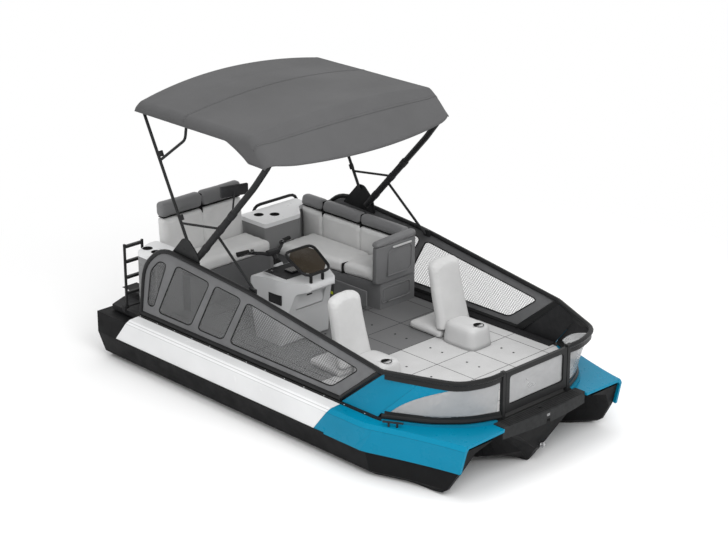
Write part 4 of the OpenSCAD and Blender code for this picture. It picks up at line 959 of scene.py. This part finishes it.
# %% Smooth copies of bent sheets and mouldings
def smooth_copy(name, node, slot, finish, limit=35.0):
    """The frame's own shape, merged and shaded smooth up to a limit angle."""
    obj = outward(show(name, node_mesh(node)))
    bm = bmesh.new()
    bm.from_mesh(obj.data)
    for edge in bm.edges:
        edge.smooth = len(edge.link_faces) == 2 and edge.calc_face_angle() < math.radians(limit)
    for face in bm.faces:
        face.smooth = True
    bm.to_mesh(obj.data)
    bm.free()
    fit_out(obj, "boat", slot, finish)
    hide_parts(node)
    return obj


def liner(name, source, lift=0.0012):
    """A thin skin over the faces of a sheet that look towards the boat's centre line."""
    bm = bmesh.new()
    bm.from_mesh(source.data)
    away = [f for f in bm.faces
            if f.normal.y * math.copysign(1, f.calc_center_median().y) > -0.25 or abs(f.normal.z) > 0.8]
    bmesh.ops.delete(bm, geom=away, context="FACES")
    for vert in bm.verts:
        vert.co += vert.normal * lift
    return modified(show(name, mesh_from(name, bm)), "SOLIDIFY", thickness=0.0009, offset=-1.0)


bow_panel_sheets = smooth_copy("bow_panel_sheets", "bow_panels", "cover_blue", cover_blue)
smooth_copy("bow_window_sheets", "bow_windows", "window_clear", window_clear)
for side in ("starboard", "port"):
    smooth_copy(f"{side}_bow_moulding", f"{side}_bow_cover", "cover_blue", cover_blue, limit=22.0)
fit_out(liner("bow_panel_liners", bow_panel_sheets), "boat", "trim_black", trim_black)
print("bow sheets", len(bow_panel_sheets.data.polygons), "faces")

# %% [markdown]
# A flat black band runs under the top rail and above the low rail, and carries the sheets' edges. It
# follows a path through the fence's corners, which are rounded as the rails are. A slanted strip closes the
# gap between the side fence's screen and the bow panel, from the inside.

# %% Black bands on the bow fence
def band(path, low, high, thickness=0.012):
    """A flat band that follows a path, between two heights measured from it."""
    pts = [Vector(p) for p in path]
    rings = []
    for i, p in enumerate(pts):
        ahead = (pts[min(i + 1, len(pts) - 1)] - pts[max(i - 1, 0)]).normalized()
        side = ahead.cross(Vector((0, 0, 1))).normalized() * thickness / 2
        section = ((1, low), (1, high), (-1, high), (-1, low))
        rings.append([p + way * side + Vector((0, 0, h)) for way, h in section])
    return skin("band", rings, smooth=False)


top_line = rounded([(1.445, 1.062, 0.922), (1.79, 0.915, 0.915), (2.025, 0.81, 0.915), (2.108, 0.567, 0.911),
                    (2.1, 0.409, 0.909)], 0.11)
low_corners = [(1.45, 1.066), (1.77, 0.885), (1.99, 0.66), (2.1, 0.409)]
low_line = rounded([(x, y, 0.541) for x, y in low_corners], 0.11)
slant = [(0.955, 0.545), (1.025, 0.545), (1.455, 0.914), (1.385, 0.914)]
bands = []
for s in (1, -1):
    for path, low, high in ((top_line, -0.062, -0.004), (low_line, 0.0, 0.046)):
        bands.append(band([(x, s * y, z) for x, y, z in path], low, high))
for s in (-1, 1):
    bands.append(skin("strip", [[(x, s * y, z) for x, z in slant] for y in (1.054, 1.061)], smooth=False))
bow_bands = fit_out(join("bow_fence_bands", bands), "boat", "rail_black", rail_black)
print("bands", len(bow_bands.data.polygons))

# %% [markdown]
# Each window of the side fences is held by a rubber bead around its edge, on both faces of the plate. The
# bead's path is the outline of the frame's own plate, found by sorting the points of its outer face round
# their centre.

# %% Window trims
def islands(bm):
    """The points of each separate plate of a mesh."""
    left = set(bm.verts)
    while left:
        stack, island = [left.pop()], []
        while stack:
            vert = stack.pop()
            island.append(vert)
            for edge in vert.link_edges:
                other = edge.other_vert(vert)
                if other in left:
                    left.remove(other)
                    stack.append(other)
        yield island


def outlines(node, axis=1):
    """One ordered outline for each flat plate of a node, on the face that looks outwards."""
    bm = bmesh.new()
    bm.from_mesh(node_mesh(node))
    bmesh.ops.remove_doubles(bm, verts=bm.verts, dist=1e-5)
    u, w = [k for k in range(3) if k != axis]
    loops = []
    for island in islands(bm):
        reach = max(abs(vert.co[axis]) for vert in island)
        rim = [vert.co.copy() for vert in island if abs(vert.co[axis]) > reach - 1e-4]
        centre = sum(rim, Vector()) / len(rim)
        loops.append(sorted(rim, key=lambda c: math.atan2(c[w] - centre[w], c[u] - centre[u])))
    bm.free()
    return loops


def bead(name, loops, radius):
    return join(name, [tube("bead", loop, radius, sides=8, closed=True) for loop in loops])


outer = outlines("side_meshes")
inner = [[Vector((p.x, p.y - math.copysign(0.005, p.y), p.z)) for p in loop] for loop in outer]
fit_out(bead("window_beads", outer + inner, 0.0052), "boat", "trim_black", rubber_black)
fit_out(bead("gate_window_bead", outlines("gate_window", 0), 0.0055), "bow_gate", "trim_black", rubber_black)
print("beads", len(outer) + len(inner))

# %% [markdown]
# ## Helm
#
# The console's top carries a dark dash inside a pale rim, with a round-cornered display, a row of switches
# on each side and a key switch. A dark block in the console's starboard side is painted shade for the
# mouth of a storage slot.

# %% Dash, display and switches
helm_y, dash_half = -0.4, 0.215
switch_first, switch_step, switch_half = 0.1, 0.032, 0.011


def helm_block(name, x0, x1, half, z0, z1, bevel, segments=2, y=helm_y):
    """A block across the helm, from y - half to y + half."""
    return block(name, (x0, y - half, z0), (x1, y + half, z1), bevel, segments)


dash = helm_block("dash_plate", -0.490, -0.2, dash_half, 1.113, 1.128, 0.006, 3)
display = helm_block("helm_display", -0.36, -0.262, 0.095, 1.124, 1.146, 0.005, 3)
screen = helm_block("display_screen", -0.352, -0.27, 0.086, 1.1458, 1.1468, 0.0004, 1)
switches = [helm_block("switch", -0.483, -0.465, switch_half, 1.124, 1.134, 0.002,
                       y=helm_y + s * (switch_first + switch_step * k)) for s in (-1, 1) for k in range(3)]
rim_line = [(-0.493, -0.618), (-0.197, -0.618), (-0.197, -0.182), (-0.493, -0.182), (-0.493, -0.4),
            (-0.493, -0.61)]
dash_rim = tube("dash_rim", rounded([(x, y, 1.119) for x, y in rim_line], 0.03), 0.006, sides=10)
key_switch = tube("key_switch", [(-0.42, -0.58, 1.124), (-0.42, -0.58, 1.14)], 0.013, sides=24)
side_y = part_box("console")[0].y
# A dark block: painted shade for the mouth of the storage slot.
slot_shade_block = block("console_slot_shade", (-0.36, side_y - 0.002, 0.9), (-0.2, side_y + 0.012, 0.99), 0.004)
for piece, slot, finish in [
    (dash, "trim_black", trim_black), (display, "mirror_black", gloss_black),
    (screen, "smoke_sheet", smoke_sheet), (join("helm_switches", switches), "trim_black", rubber_black),
    (dash_rim, "console_grey", console_grey), (key_switch, "trim_black", gloss_black),
    (slot_shade_block, "trim_black", trim_black),
]:
    fit_out(piece, "boat", slot, finish)
print("dash, display and", len(switches), "switches")

# %% [markdown]
# The handlebar has ribbed rubber grips, a lever ahead of each grip, a padded cover over its clamp and a
# rubber boot round its column. All of these ride on the handlebar, and turn with it.

# %% Grips and levers
bar_head = Vector((-0.6, -0.4, 1.213))
column_foot, column_way = Vector((-0.538, -0.4, 1.108)), Vector((-0.5736, 0, 0.8192))
grip_rings = 23


def on_bar(x, y, z):
    return bar_head + Vector((x, y, z))


grips, levers = [], []
for s in (-1, 1):
    start, end = on_bar(-0.099, s * 0.2, 0.03), on_bar(-0.1375, s * 0.307, 0.0205)
    path = [start.lerp(end, k / (grip_rings - 1)) for k in range(grip_rings)]
    grips.append(tube("grip", path, [0.0185 + 0.0013 * (k % 2) for k in range(grip_rings)], sides=24))
    clamp = [on_bar(-0.079, s * 0.163, 0.0275), on_bar(-0.091, s * 0.185, 0.0295)]
    knee, tip = clamp[1] + Vector((0.035, s * 0.012, 0.004)), end + Vector((0.06, 0, 0.002))
    lever = rounded([clamp[1], knee, tip], 0.02)
    levers += [tube("clamp", clamp, 0.021, sides=24), tube("lever", lever, 0.006, sides=12)]
boot_path = [column_foot + column_way * d for d in (0.021, 0.035, 0.06)]
column_boot = tube("column_boot", boot_path, [0.036, 0.032, 0.026], sides=28)
pad = block("handlebar_pad", (-0.64, -0.465, 1.196), (-0.575, -0.335, 1.236), 0.014, 4)
for piece, finish in [(column_boot, rubber_black), (join("handlebar_grips", grips), rubber_black),
                      (join("handlebar_levers", levers), gloss_black), (pad, trim_black)]:
    fit_out(piece, "handlebar", "trim_black", finish)
print("grips", len(grips), "levers", len(levers) // 2)

# %% [markdown]
# The mirror's glass is a thin bright plate on the flat face of its housing that looks aft. The glovebox lid
# carries a pull and a raised rim, and both ride on the lid.

# %% Mirror face and lid pull
def plate_on(name, node, toward, margin, lift, thickness):
    """A thin plate laid on a node's largest flat face in one direction, set in from its edges."""
    mesh = node_mesh(node)
    faces = [p for p in mesh.polygons if p.normal.dot(toward) > 0.9]
    best = max(faces, key=lambda p: p.area)
    normal = best.normal.copy()
    face_at = best.center.dot(normal)
    level = [p for p in faces if abs(p.center.dot(normal) - face_at) < 1e-4]
    pts = [mesh.vertices[i].co for p in level for i in p.vertices]
    u = normal.cross(Vector((0, 0, 1))).normalized()
    w = u.cross(normal).normalized()
    us, ws = [p.dot(u) for p in pts], [p.dot(w) for p in pts]
    outline = corners(min(us) + margin, min(ws) + margin, max(us) - margin, max(ws) - margin)
    verts = [u * a + w * b + normal * (face_at + h) for h in (lift - thickness, lift) for a, b in outline]
    return bevelled(outward(piece_from(name, verts, BOX_FACES, smooth=False)), thickness * 0.35, 2)


mirror_glass = plate_on("mirror_glass", "helm_mirror", Vector((-1, 0, 0)), 0.008, 0.0012, 0.003)
fit_out(mirror_glass, "boat", "bright_metal", steel)
lid_pull = helm_block("lid_pull", -0.1475, -0.138, 0.03, 0.945, 0.958, 0.003)
fit_out(lid_pull, "glovebox_lid", "trim_black", trim_black)
lid_rim = helm_block("lid_rim", -0.1475, -0.1445, 0.16, 0.86, 0.966, 0.001, 1)
fit_out(lid_rim, "glovebox_lid", "console_grey", console_grey)
print("mirror face and lid trim ready")

# %% [markdown]
# ## Poles, clamps and trim
#
# The sun top's poles meet in moulded joints. Each joint is a short collar around the pole, a little thicker
# than it, with chamfered ends, and the thick lower part of each leg is a moulded sleeve over the tube.

# %% Collars on the sun top's poles
def collar(at, toward, radius, length):
    at = Vector(at)
    direction = (Vector(toward) - at).normalized()
    path = [at + direction * length * k for k in (-0.5, -0.42, 0.42, 0.5)]
    return tube("collar", path, [radius * 0.9, radius, radius, radius * 0.9], sides=24)


leg_y = 1.02
main_base, main_bend = Vector((-0.897, 0, 1.23)), Vector((-0.135, 0, 2.058))
rear_base, rear_top = Vector((-0.998, 0, 1.36)), Vector((-1.56, 0, 2.55))
collars = []
for s in (-1, 1):
    shift = Vector((0, s * leg_y, 0))
    for along_leg, length in ((0.634, 0.075), (0.43, 0.05), (0.16, 0.06)):
        at = main_base.lerp(main_bend, along_leg) + shift
        collars.append(collar(at, main_bend + shift, 0.0345, length))
    for along_leg in (0.17, 0.61):
        collars.append(collar(rear_base.lerp(rear_top, along_leg) + shift, rear_top + shift, 0.0215, 0.05))
    collars.append(collar((-0.17, s * 1.04, 1.166), (-0.607, s * 1.03, 1.519), 0.0155, 0.04))
    sleeve = [main_base.lerp(main_bend, k) + shift for k in (0.05, 0.07, 0.60, 0.625)]
    collars.append(tube("sleeve", sleeve, [0.0275, 0.031, 0.031, 0.0265], sides=28))
fit_out(join("pole_collars", collars), "boat", "frame_dark", trim_black)
print("collars", len(collars))

# %% [markdown]
# ## Fasteners
#
# Screws, bolts, deck inserts and stitches repeat, so they are made by one Geometry Nodes group. It takes a
# mesh whose points carry the way that each head faces and the way that it lies along, puts a small
# chamfered head on each point, and gives the result a material. Its inputs are the head's radius and
# height, its stretch along the surface, its number of sides, and the material.

# %% The fastener node group
def fastener_group(chamfer=0.72):
    group = bpy.data.node_groups.new("fastener_heads", "GeometryNodeTree")
    for label, kind, default in (
            ("Geometry", "Geometry", None), ("Head Radius", "Float", 0.006), ("Head Height", "Float", 0.003),
            ("Stretch", "Float", 1.0), ("Sides", "Int", 16), ("Finish", "Material", None)):
        socket = group.interface.new_socket(label, in_out="INPUT", socket_type="NodeSocket" + kind)
        if default:
            socket.default_value = default
    group.interface.new_socket("Geometry", in_out="OUTPUT", socket_type="NodeSocketGeometry")
    given = grow(group, "NodeGroupInput").outputs

    def attribute(name):
        kind = "GeometryNodeInputNamedAttribute"
        return grow(group, kind, {"Name": name}, data_type="FLOAT_VECTOR").outputs[0]

    narrow = grow(group, "ShaderNodeMath", {0: given["Head Radius"], 1: chamfer}, operation="MULTIPLY")
    head = grow(group, "GeometryNodeMeshCone", {
        "Vertices": given["Sides"], "Radius Bottom": given["Head Radius"], "Depth": given["Head Height"],
        "Radius Top": narrow.outputs[0]}, fill_type="NGON")
    turn = grow(group, "FunctionNodeAlignRotationToVector", {"Vector": attribute("facing")}, axis="Z")
    spin = grow(group, "FunctionNodeAlignRotationToVector", {
        "Rotation": turn.outputs[0], "Vector": attribute("along")}, axis="X", pivot_axis="Z")
    size = grow(group, "ShaderNodeCombineXYZ", {0: given["Stretch"], 1: 1.0, 2: 1.0})
    put = grow(group, "GeometryNodeInstanceOnPoints", {
        "Points": given["Geometry"], "Instance": head.outputs["Mesh"], "Rotation": spin.outputs[0],
        "Scale": size.outputs[0]})
    real = grow(group, "GeometryNodeRealizeInstances", {0: put.outputs[0]})
    paint = grow(group, "GeometryNodeSetMaterial", {"Geometry": real.outputs[0], "Material": given["Finish"]})
    grow(group, "NodeGroupOutput", {0: paint.outputs[0]})
    return group


heads_group = fastener_group()
print("node group inputs:", [i.name for i in heads_group.interface.items_tree if i.in_out == "INPUT"])

# %% [markdown]
# A row of fasteners starts as loose points, each with its two directions. The modifier's inputs are set by
# the sockets' identifiers, the result is baked to a plain mesh, and the directions are dropped from it.

# %% Making a set of fasteners
def fasteners(name, places, slot, finish, radius, height, sides, stretch=1.0):
    """Heads at (place, facing, along) triples, as one mesh on the boat."""
    obj = piece_from(name, [p[0] for p in places], [])
    for key, k in (("facing", 1), ("along", 2)):
        layer = obj.data.attributes.new(key, "FLOAT_VECTOR", "POINT")
        layer.data.foreach_set("vector", [c for p in places for c in p[k]])
    modifier = obj.modifiers.new("heads", "NODES")
    modifier.node_group = heads_group
    values = {"Head Radius": radius, "Head Height": height, "Stretch": stretch, "Sides": sides,
              "Finish": finish}
    for item in heads_group.interface.items_tree:
        if item.item_type == "SOCKET" and item.in_out == "INPUT" and item.name in values:
            modifier[item.identifier] = values[item.name]
    bake_modifiers(obj)
    for key in ("facing", "along"):
        if key in obj.data.attributes:
            obj.data.attributes.remove(obj.data.attributes[key])
    print(name, len(places))
    return fit_out(obj, "boat", slot, finish)


up, fore = (0, 0, 1), (1, 0, 0)
print("fastener helper ready")

# %% [markdown]
# Deck inserts sit in pairs along the seams of the mats, bolts hold the web plates at the feet of the poles
# on both faces, and screws run along the foot of each side fence.

# %% Inserts, bolts and screws
insert_rows = [(x, y) for x in (0.78, 1.21, 1.63) for y in (-0.64, -0.21, 0.225, 0.66)
               if abs(y) < 0.5 or x < 1.5]
insert_rows += [(x, y) for x in (-0.08, 0.35) for y in (-0.85, -0.21, 0.225)]
insert_places = [((x + dx, y, deck_top + 0.0008), up, fore) for x, y in insert_rows for dx in (-0.07, 0.07)]
fasteners("deck_inserts", insert_places, "trim_black", trim_black, 0.0105, 0.0022, 20)

bolt_places = []
for s in (-1, 1):
    for x, z in ((-1.19, 1.19), (-1.12, 1.19), (-0.93, 1.19), (-0.86, 1.19), (-1.03, 1.3), (-0.9, 1.26)):
        bolt_places += [((x, s * 1.0612, z), (0, s, 0), fore), ((x, s * 1.0468, z), (0, -s, 0), fore)]
fasteners("bracket_bolts", bolt_places, "bright_metal", rail_black, 0.0085, 0.004, 6)

screw_places = [((-1.62 + 0.24 * k, s * 1.1035, 0.513), (0, s, 0), fore) for s in (-1, 1) for k in range(13)]
fasteners("sill_screws", screw_places, "bright_metal", steel, 0.005, 0.0022, 14)

# %% [markdown]
# Each seam of the sun top has two rows of stitches. A stitch is a long flat head that lies along the seam
# and faces away from the cloth, so its direction comes from the step to the next point of the row.

# %% Stitches
stitch_places = []
for place in hoop_places[1:]:
    for offset in (0.0035, 0.0185):
        row = [cloth_point(place + offset, t) for t in np.linspace(-0.86, 0.86, 170)]
        for a, b in zip(row[:-1], row[1:]):
            way = (b - a).normalized()
            lift = way.cross(Vector(fore))
            lift = lift if lift.z > 0 else -lift
            stitch_places.append(((a + b) / 2 + lift * 0.0022, lift, way))
fasteners("sun_top_stitches", stitch_places, "canopy_cloth", canvas_grey, 0.0011, 0.0008, 6, stretch=3.0)

# %% [markdown]
# ## Sills, rub strips and small trim
#
# A grooved black sill runs along the foot of each side fence, inside it, and a rubber rub strip runs along
# each white cover.

# %% Sills and strips
def grooved_sill(y0, y1, x0=-1.42, x1=1.4, height=0.018, grooves=4, groove_depth=0.004):
    """A strip with grooves along it, as a cross-section pushed along x."""
    width = (y1 - y0) / (2 * grooves + 1)
    top = deck_top + height
    outline = [(y0, deck_top), (y0, top)]
    for k in range(grooves):
        steps = ((0.0, 0.0), (0.15, groove_depth), (0.85, groove_depth), (1.0, 0.0))
        outline += [(y0 + width * (2 * k + 1 + step), top - down) for step, down in steps]
    outline += [(y1, top), (y1, deck_top)]
    return prism("sill", outline, "x", x0, x1, 0)


sills = [grooved_sill(-1.056, -0.985), grooved_sill(0.985, 1.056)]
fit_out(join("fence_sills", sills), "boat", "trim_black", trim_black)
cover_y = -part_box("starboard_cover")[0].y
strips = [block("strip", (-1.86, min(y, y + s * 0.006), 0.243), (0.9, max(y, y + s * 0.006), 0.262), 0.0025)
          for s, y in ((-1, -cover_y), (1, cover_y))]
fit_out(join("rub_strips", strips), "boat", "trim_black", rubber_black)
print("sills", len(sills), "strips", len(strips))

# %% [markdown]
# The long bench stands on a base with two lockers in its face and a framed panel in its forward end. A
# green tab pulls the locker open.

# %% Bench base
pull_green = moulded("pull_green", (0.42, 0.5, 0.03), pebble=500.0, rough=0.5)
pull_tab = block("bench_pull_tab", (-0.73, 0.398, 0.566), (-0.7, 0.4055, 0.592), 0.002)
fit_out(pull_tab, "boat", "seat_dark", pull_green)
base_low, base_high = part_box("bench_base")
face_y, face_x = base_low.y, base_high.x
door_low, door_high = deck_top + 0.045, deck_top + 0.2
lockers = [block("locker", (x0, face_y - 0.004, door_low), (x1, face_y + 0.01, door_high), 0.012, 3)
           for x0, x1 in ((-1.2, -0.74), (-0.69, -0.26))]
end_line = [(0.60, 0.58), (0.9, 0.58), (0.9, 0.72), (0.54, 0.72), (0.54, 0.58), (0.62, 0.58)]
end_ring = rounded([(face_x + 0.001, y, z) for y, z in end_line], 0.03)
lockers += [tube("lip", end_ring, 0.007, sides=10),
            block("locker", (face_x - 0.004, 0.56, 0.598), (face_x + 0.0035, 0.88, 0.702), 0.003)]
fit_out(join("bench_locker_faces", lockers), "boat", "seat_dark", vinyl_base)
print("locker faces", len(lockers))

# %% [markdown]
# The bow step has ribs for grip and a small lamp in its nose, the gate has a latch with a round knob, and
# the stern platform is laid with matt tiles.

# %% Bow step, gate and stern trim
def slats(name, count, first, pitch, size, low, high, axis, bevel):
    """Equal flat strips side by side along an axis; low and high are the corners of the one at zero."""
    out = []
    for k in range(count):
        shift = [0.0, 0.0, 0.0]
        shift[axis] = first + pitch * k
        ends = [[c + d for c, d in zip(corner, shift)] for corner in (low, high)]
        ends[1][axis] += size
        out.append(block("slat", *ends, bevel, 1))
    return join(name, out)


step_low, step_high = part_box("bow_step")
step_ribs = slats("bow_step_ribs", 5, step_low.x + 0.02, 0.022, 0.01, (0, -0.44, step_high.z - 0.001),
                  (0, 0.44, step_high.z + 0.0022), 0, 0.001)
fit_out(step_ribs, "boat", "step_grey", rubber_black)
nose_x, nose_z = step_high.x, step_high.z
lamp_low, lamp_high = (nose_x - 0.012, -0.018, nose_z - 0.045), (nose_x + 0.003, 0.018, nose_z - 0.022)
bow_lamp = block("bow_lamp", lamp_low, lamp_high, 0.004, 3)
fit_out(bow_lamp, "boat", "window_clear", window_clear)
gate_x, gate_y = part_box("bow_gate")[1].x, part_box("bow_gate")[0].y
latch_low, latch_high = (gate_x - 0.052, gate_y + 0.008, 0.77), (gate_x - 0.038, gate_y + 0.05, 0.84)
latch = block("gate_latch", latch_low, latch_high, 0.005, 3)
fit_out(latch, "bow_gate", "bright_metal", gloss_black)
knob_path = [(gate_x - out, gate_y + 0.03, 0.805) for out in (0.052, 0.07)]
knob = tube("gate_latch_knob", knob_path, 0.011, sides=20)
fit_out(knob, "bow_gate", "bright_metal", steel)
platform_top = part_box("stern_platform")[1].z
mat_tiles = slats("stern_mat_tiles", 8, -0.84, 0.21, 0.17, (-2.22, 0, platform_top - 0.001),
                  (-1.95, 0, platform_top + 0.003), 1, 0.0012)
fit_out(mat_tiles, "boat", "step_grey", step_grey)
print("bow and stern trim ready")

# %% [markdown]
# ## The studio
#
# The floor and the world are white to the camera and plain elsewhere, so that colours come out as they are
# written. Near the boat the floor is a pale grey that takes its shadow, and it turns plain white further
# out.

# %% Floor and world
def studio_floor(name, lit, near, far):
    """Soft grey that takes shadows near the boat, and plain white beyond it, also through glass."""
    mat = bpy.data.materials.new(name)
    mat.use_nodes = True
    tree = mat.node_tree
    tree.nodes.clear()
    diffuse = grow(tree, "ShaderNodeBsdfDiffuse", {"Color": (*lit, 1)})
    white = grow(tree, "ShaderNodeEmission", {"Color": (1, 1, 1, 1), "Strength": 1.0})
    where = grow(tree, "ShaderNodeTexCoord").outputs["Object"]
    away = grow(tree, "ShaderNodeVectorMath", {0: where}, operation="LENGTH").outputs["Value"]
    ramp = grow(tree, "ShaderNodeMapRange", {"Value": away, "From Min": near, "From Max": far},
                interpolation_type="SMOOTHSTEP").outputs[0]
    rays = grow(tree, "ShaderNodeLightPath").outputs
    straight = {0: rays["Is Camera Ray"], 1: rays["Is Transmission Ray"]}
    seen = grow(tree, "ShaderNodeMath", straight, operation="MAXIMUM")
    both = grow(tree, "ShaderNodeMath", {0: ramp, 1: seen.outputs[0]}, operation="MULTIPLY")
    mix = grow(tree, "ShaderNodeMixShader", {0: both.outputs[0], 1: diffuse.outputs[0], 2: white.outputs[0]})
    grow(tree, "ShaderNodeOutputMaterial", {0: mix.outputs[0]})
    return mat


def studio_world(ambient):
    """Even light from all round, and plain white behind the boat to the camera."""
    world = bpy.data.worlds.new("studio")
    world.use_nodes = True
    tree = world.node_tree
    tree.nodes.clear()
    light, backdrop = [grow(tree, "ShaderNodeBackground", {"Color": (1, 1, 1, 1), "Strength": strength})
                       for strength in (ambient, 1.0)]
    seen = grow(tree, "ShaderNodeLightPath").outputs["Is Camera Ray"]
    mix = grow(tree, "ShaderNodeMixShader", {0: seen, 1: light.outputs[0], 2: backdrop.outputs[0]})
    grow(tree, "ShaderNodeOutputWorld", {0: mix.outputs[0]})
    return world


floor_half = 60.0
floor_corners = corners(-floor_half, -floor_half, floor_half, floor_half)
floor = piece_from("floor", [(x, y, 0) for x, y in floor_corners], [(0, 1, 2, 3)], smooth=False)
floor.location.z = -0.001
floor.data.materials.append(studio_floor("studio_floor", (0.93, 0.93, 0.93), 3.2, 5.5))
scene.world = studio_world(0.84)
print("floor and world ready")

# %% [markdown]
# The key light is a broad panel high over the bow's starboard side, and a second one hangs overhead. Two
# weaker panels fill the sides. Each is square and looks at the middle of the boat.

# %% Lights
def looking_at(place, aim):
    return (Vector(aim) - Vector(place)).to_track_quat("-Z", "Y").to_euler()


for name, place, size, power in (
        ("key", (7.2, -3.2, 7.2), 5.0, 430), ("top", (0.5, -1.0, 9.5), 7.0, 260),
        ("starboard_fill", (1.0, -9.0, 3.5), 6.0, 25), ("port_fill", (1.0, 9.0, 4.5), 6.0, 60)):
    lamp = bpy.data.lights.new(name, "AREA")
    lamp.shape, lamp.size, lamp.energy = "SQUARE", size, power
    panel = show(name, lamp)
    panel.location, panel.rotation_euler = place, looking_at(place, (0, 0, 0.8))
print("lights ready")

# %% [markdown]
# The camera stands ahead of the boat on its starboard side and looks down at it, from far enough away that
# the lines of the hulls stay nearly parallel.

# %% Camera
camera = bpy.data.cameras.new("camera")
camera.lens, camera.sensor_width = 100.4, 36.0
view = show("camera", camera)
view.location = (11.849, -11.426, 7.411)
view.rotation_euler = looking_at(view.location, (0.12, 0.0, 1.11))
scene.camera = view
scene.view_settings.view_transform = "Standard"
print("camera ready")
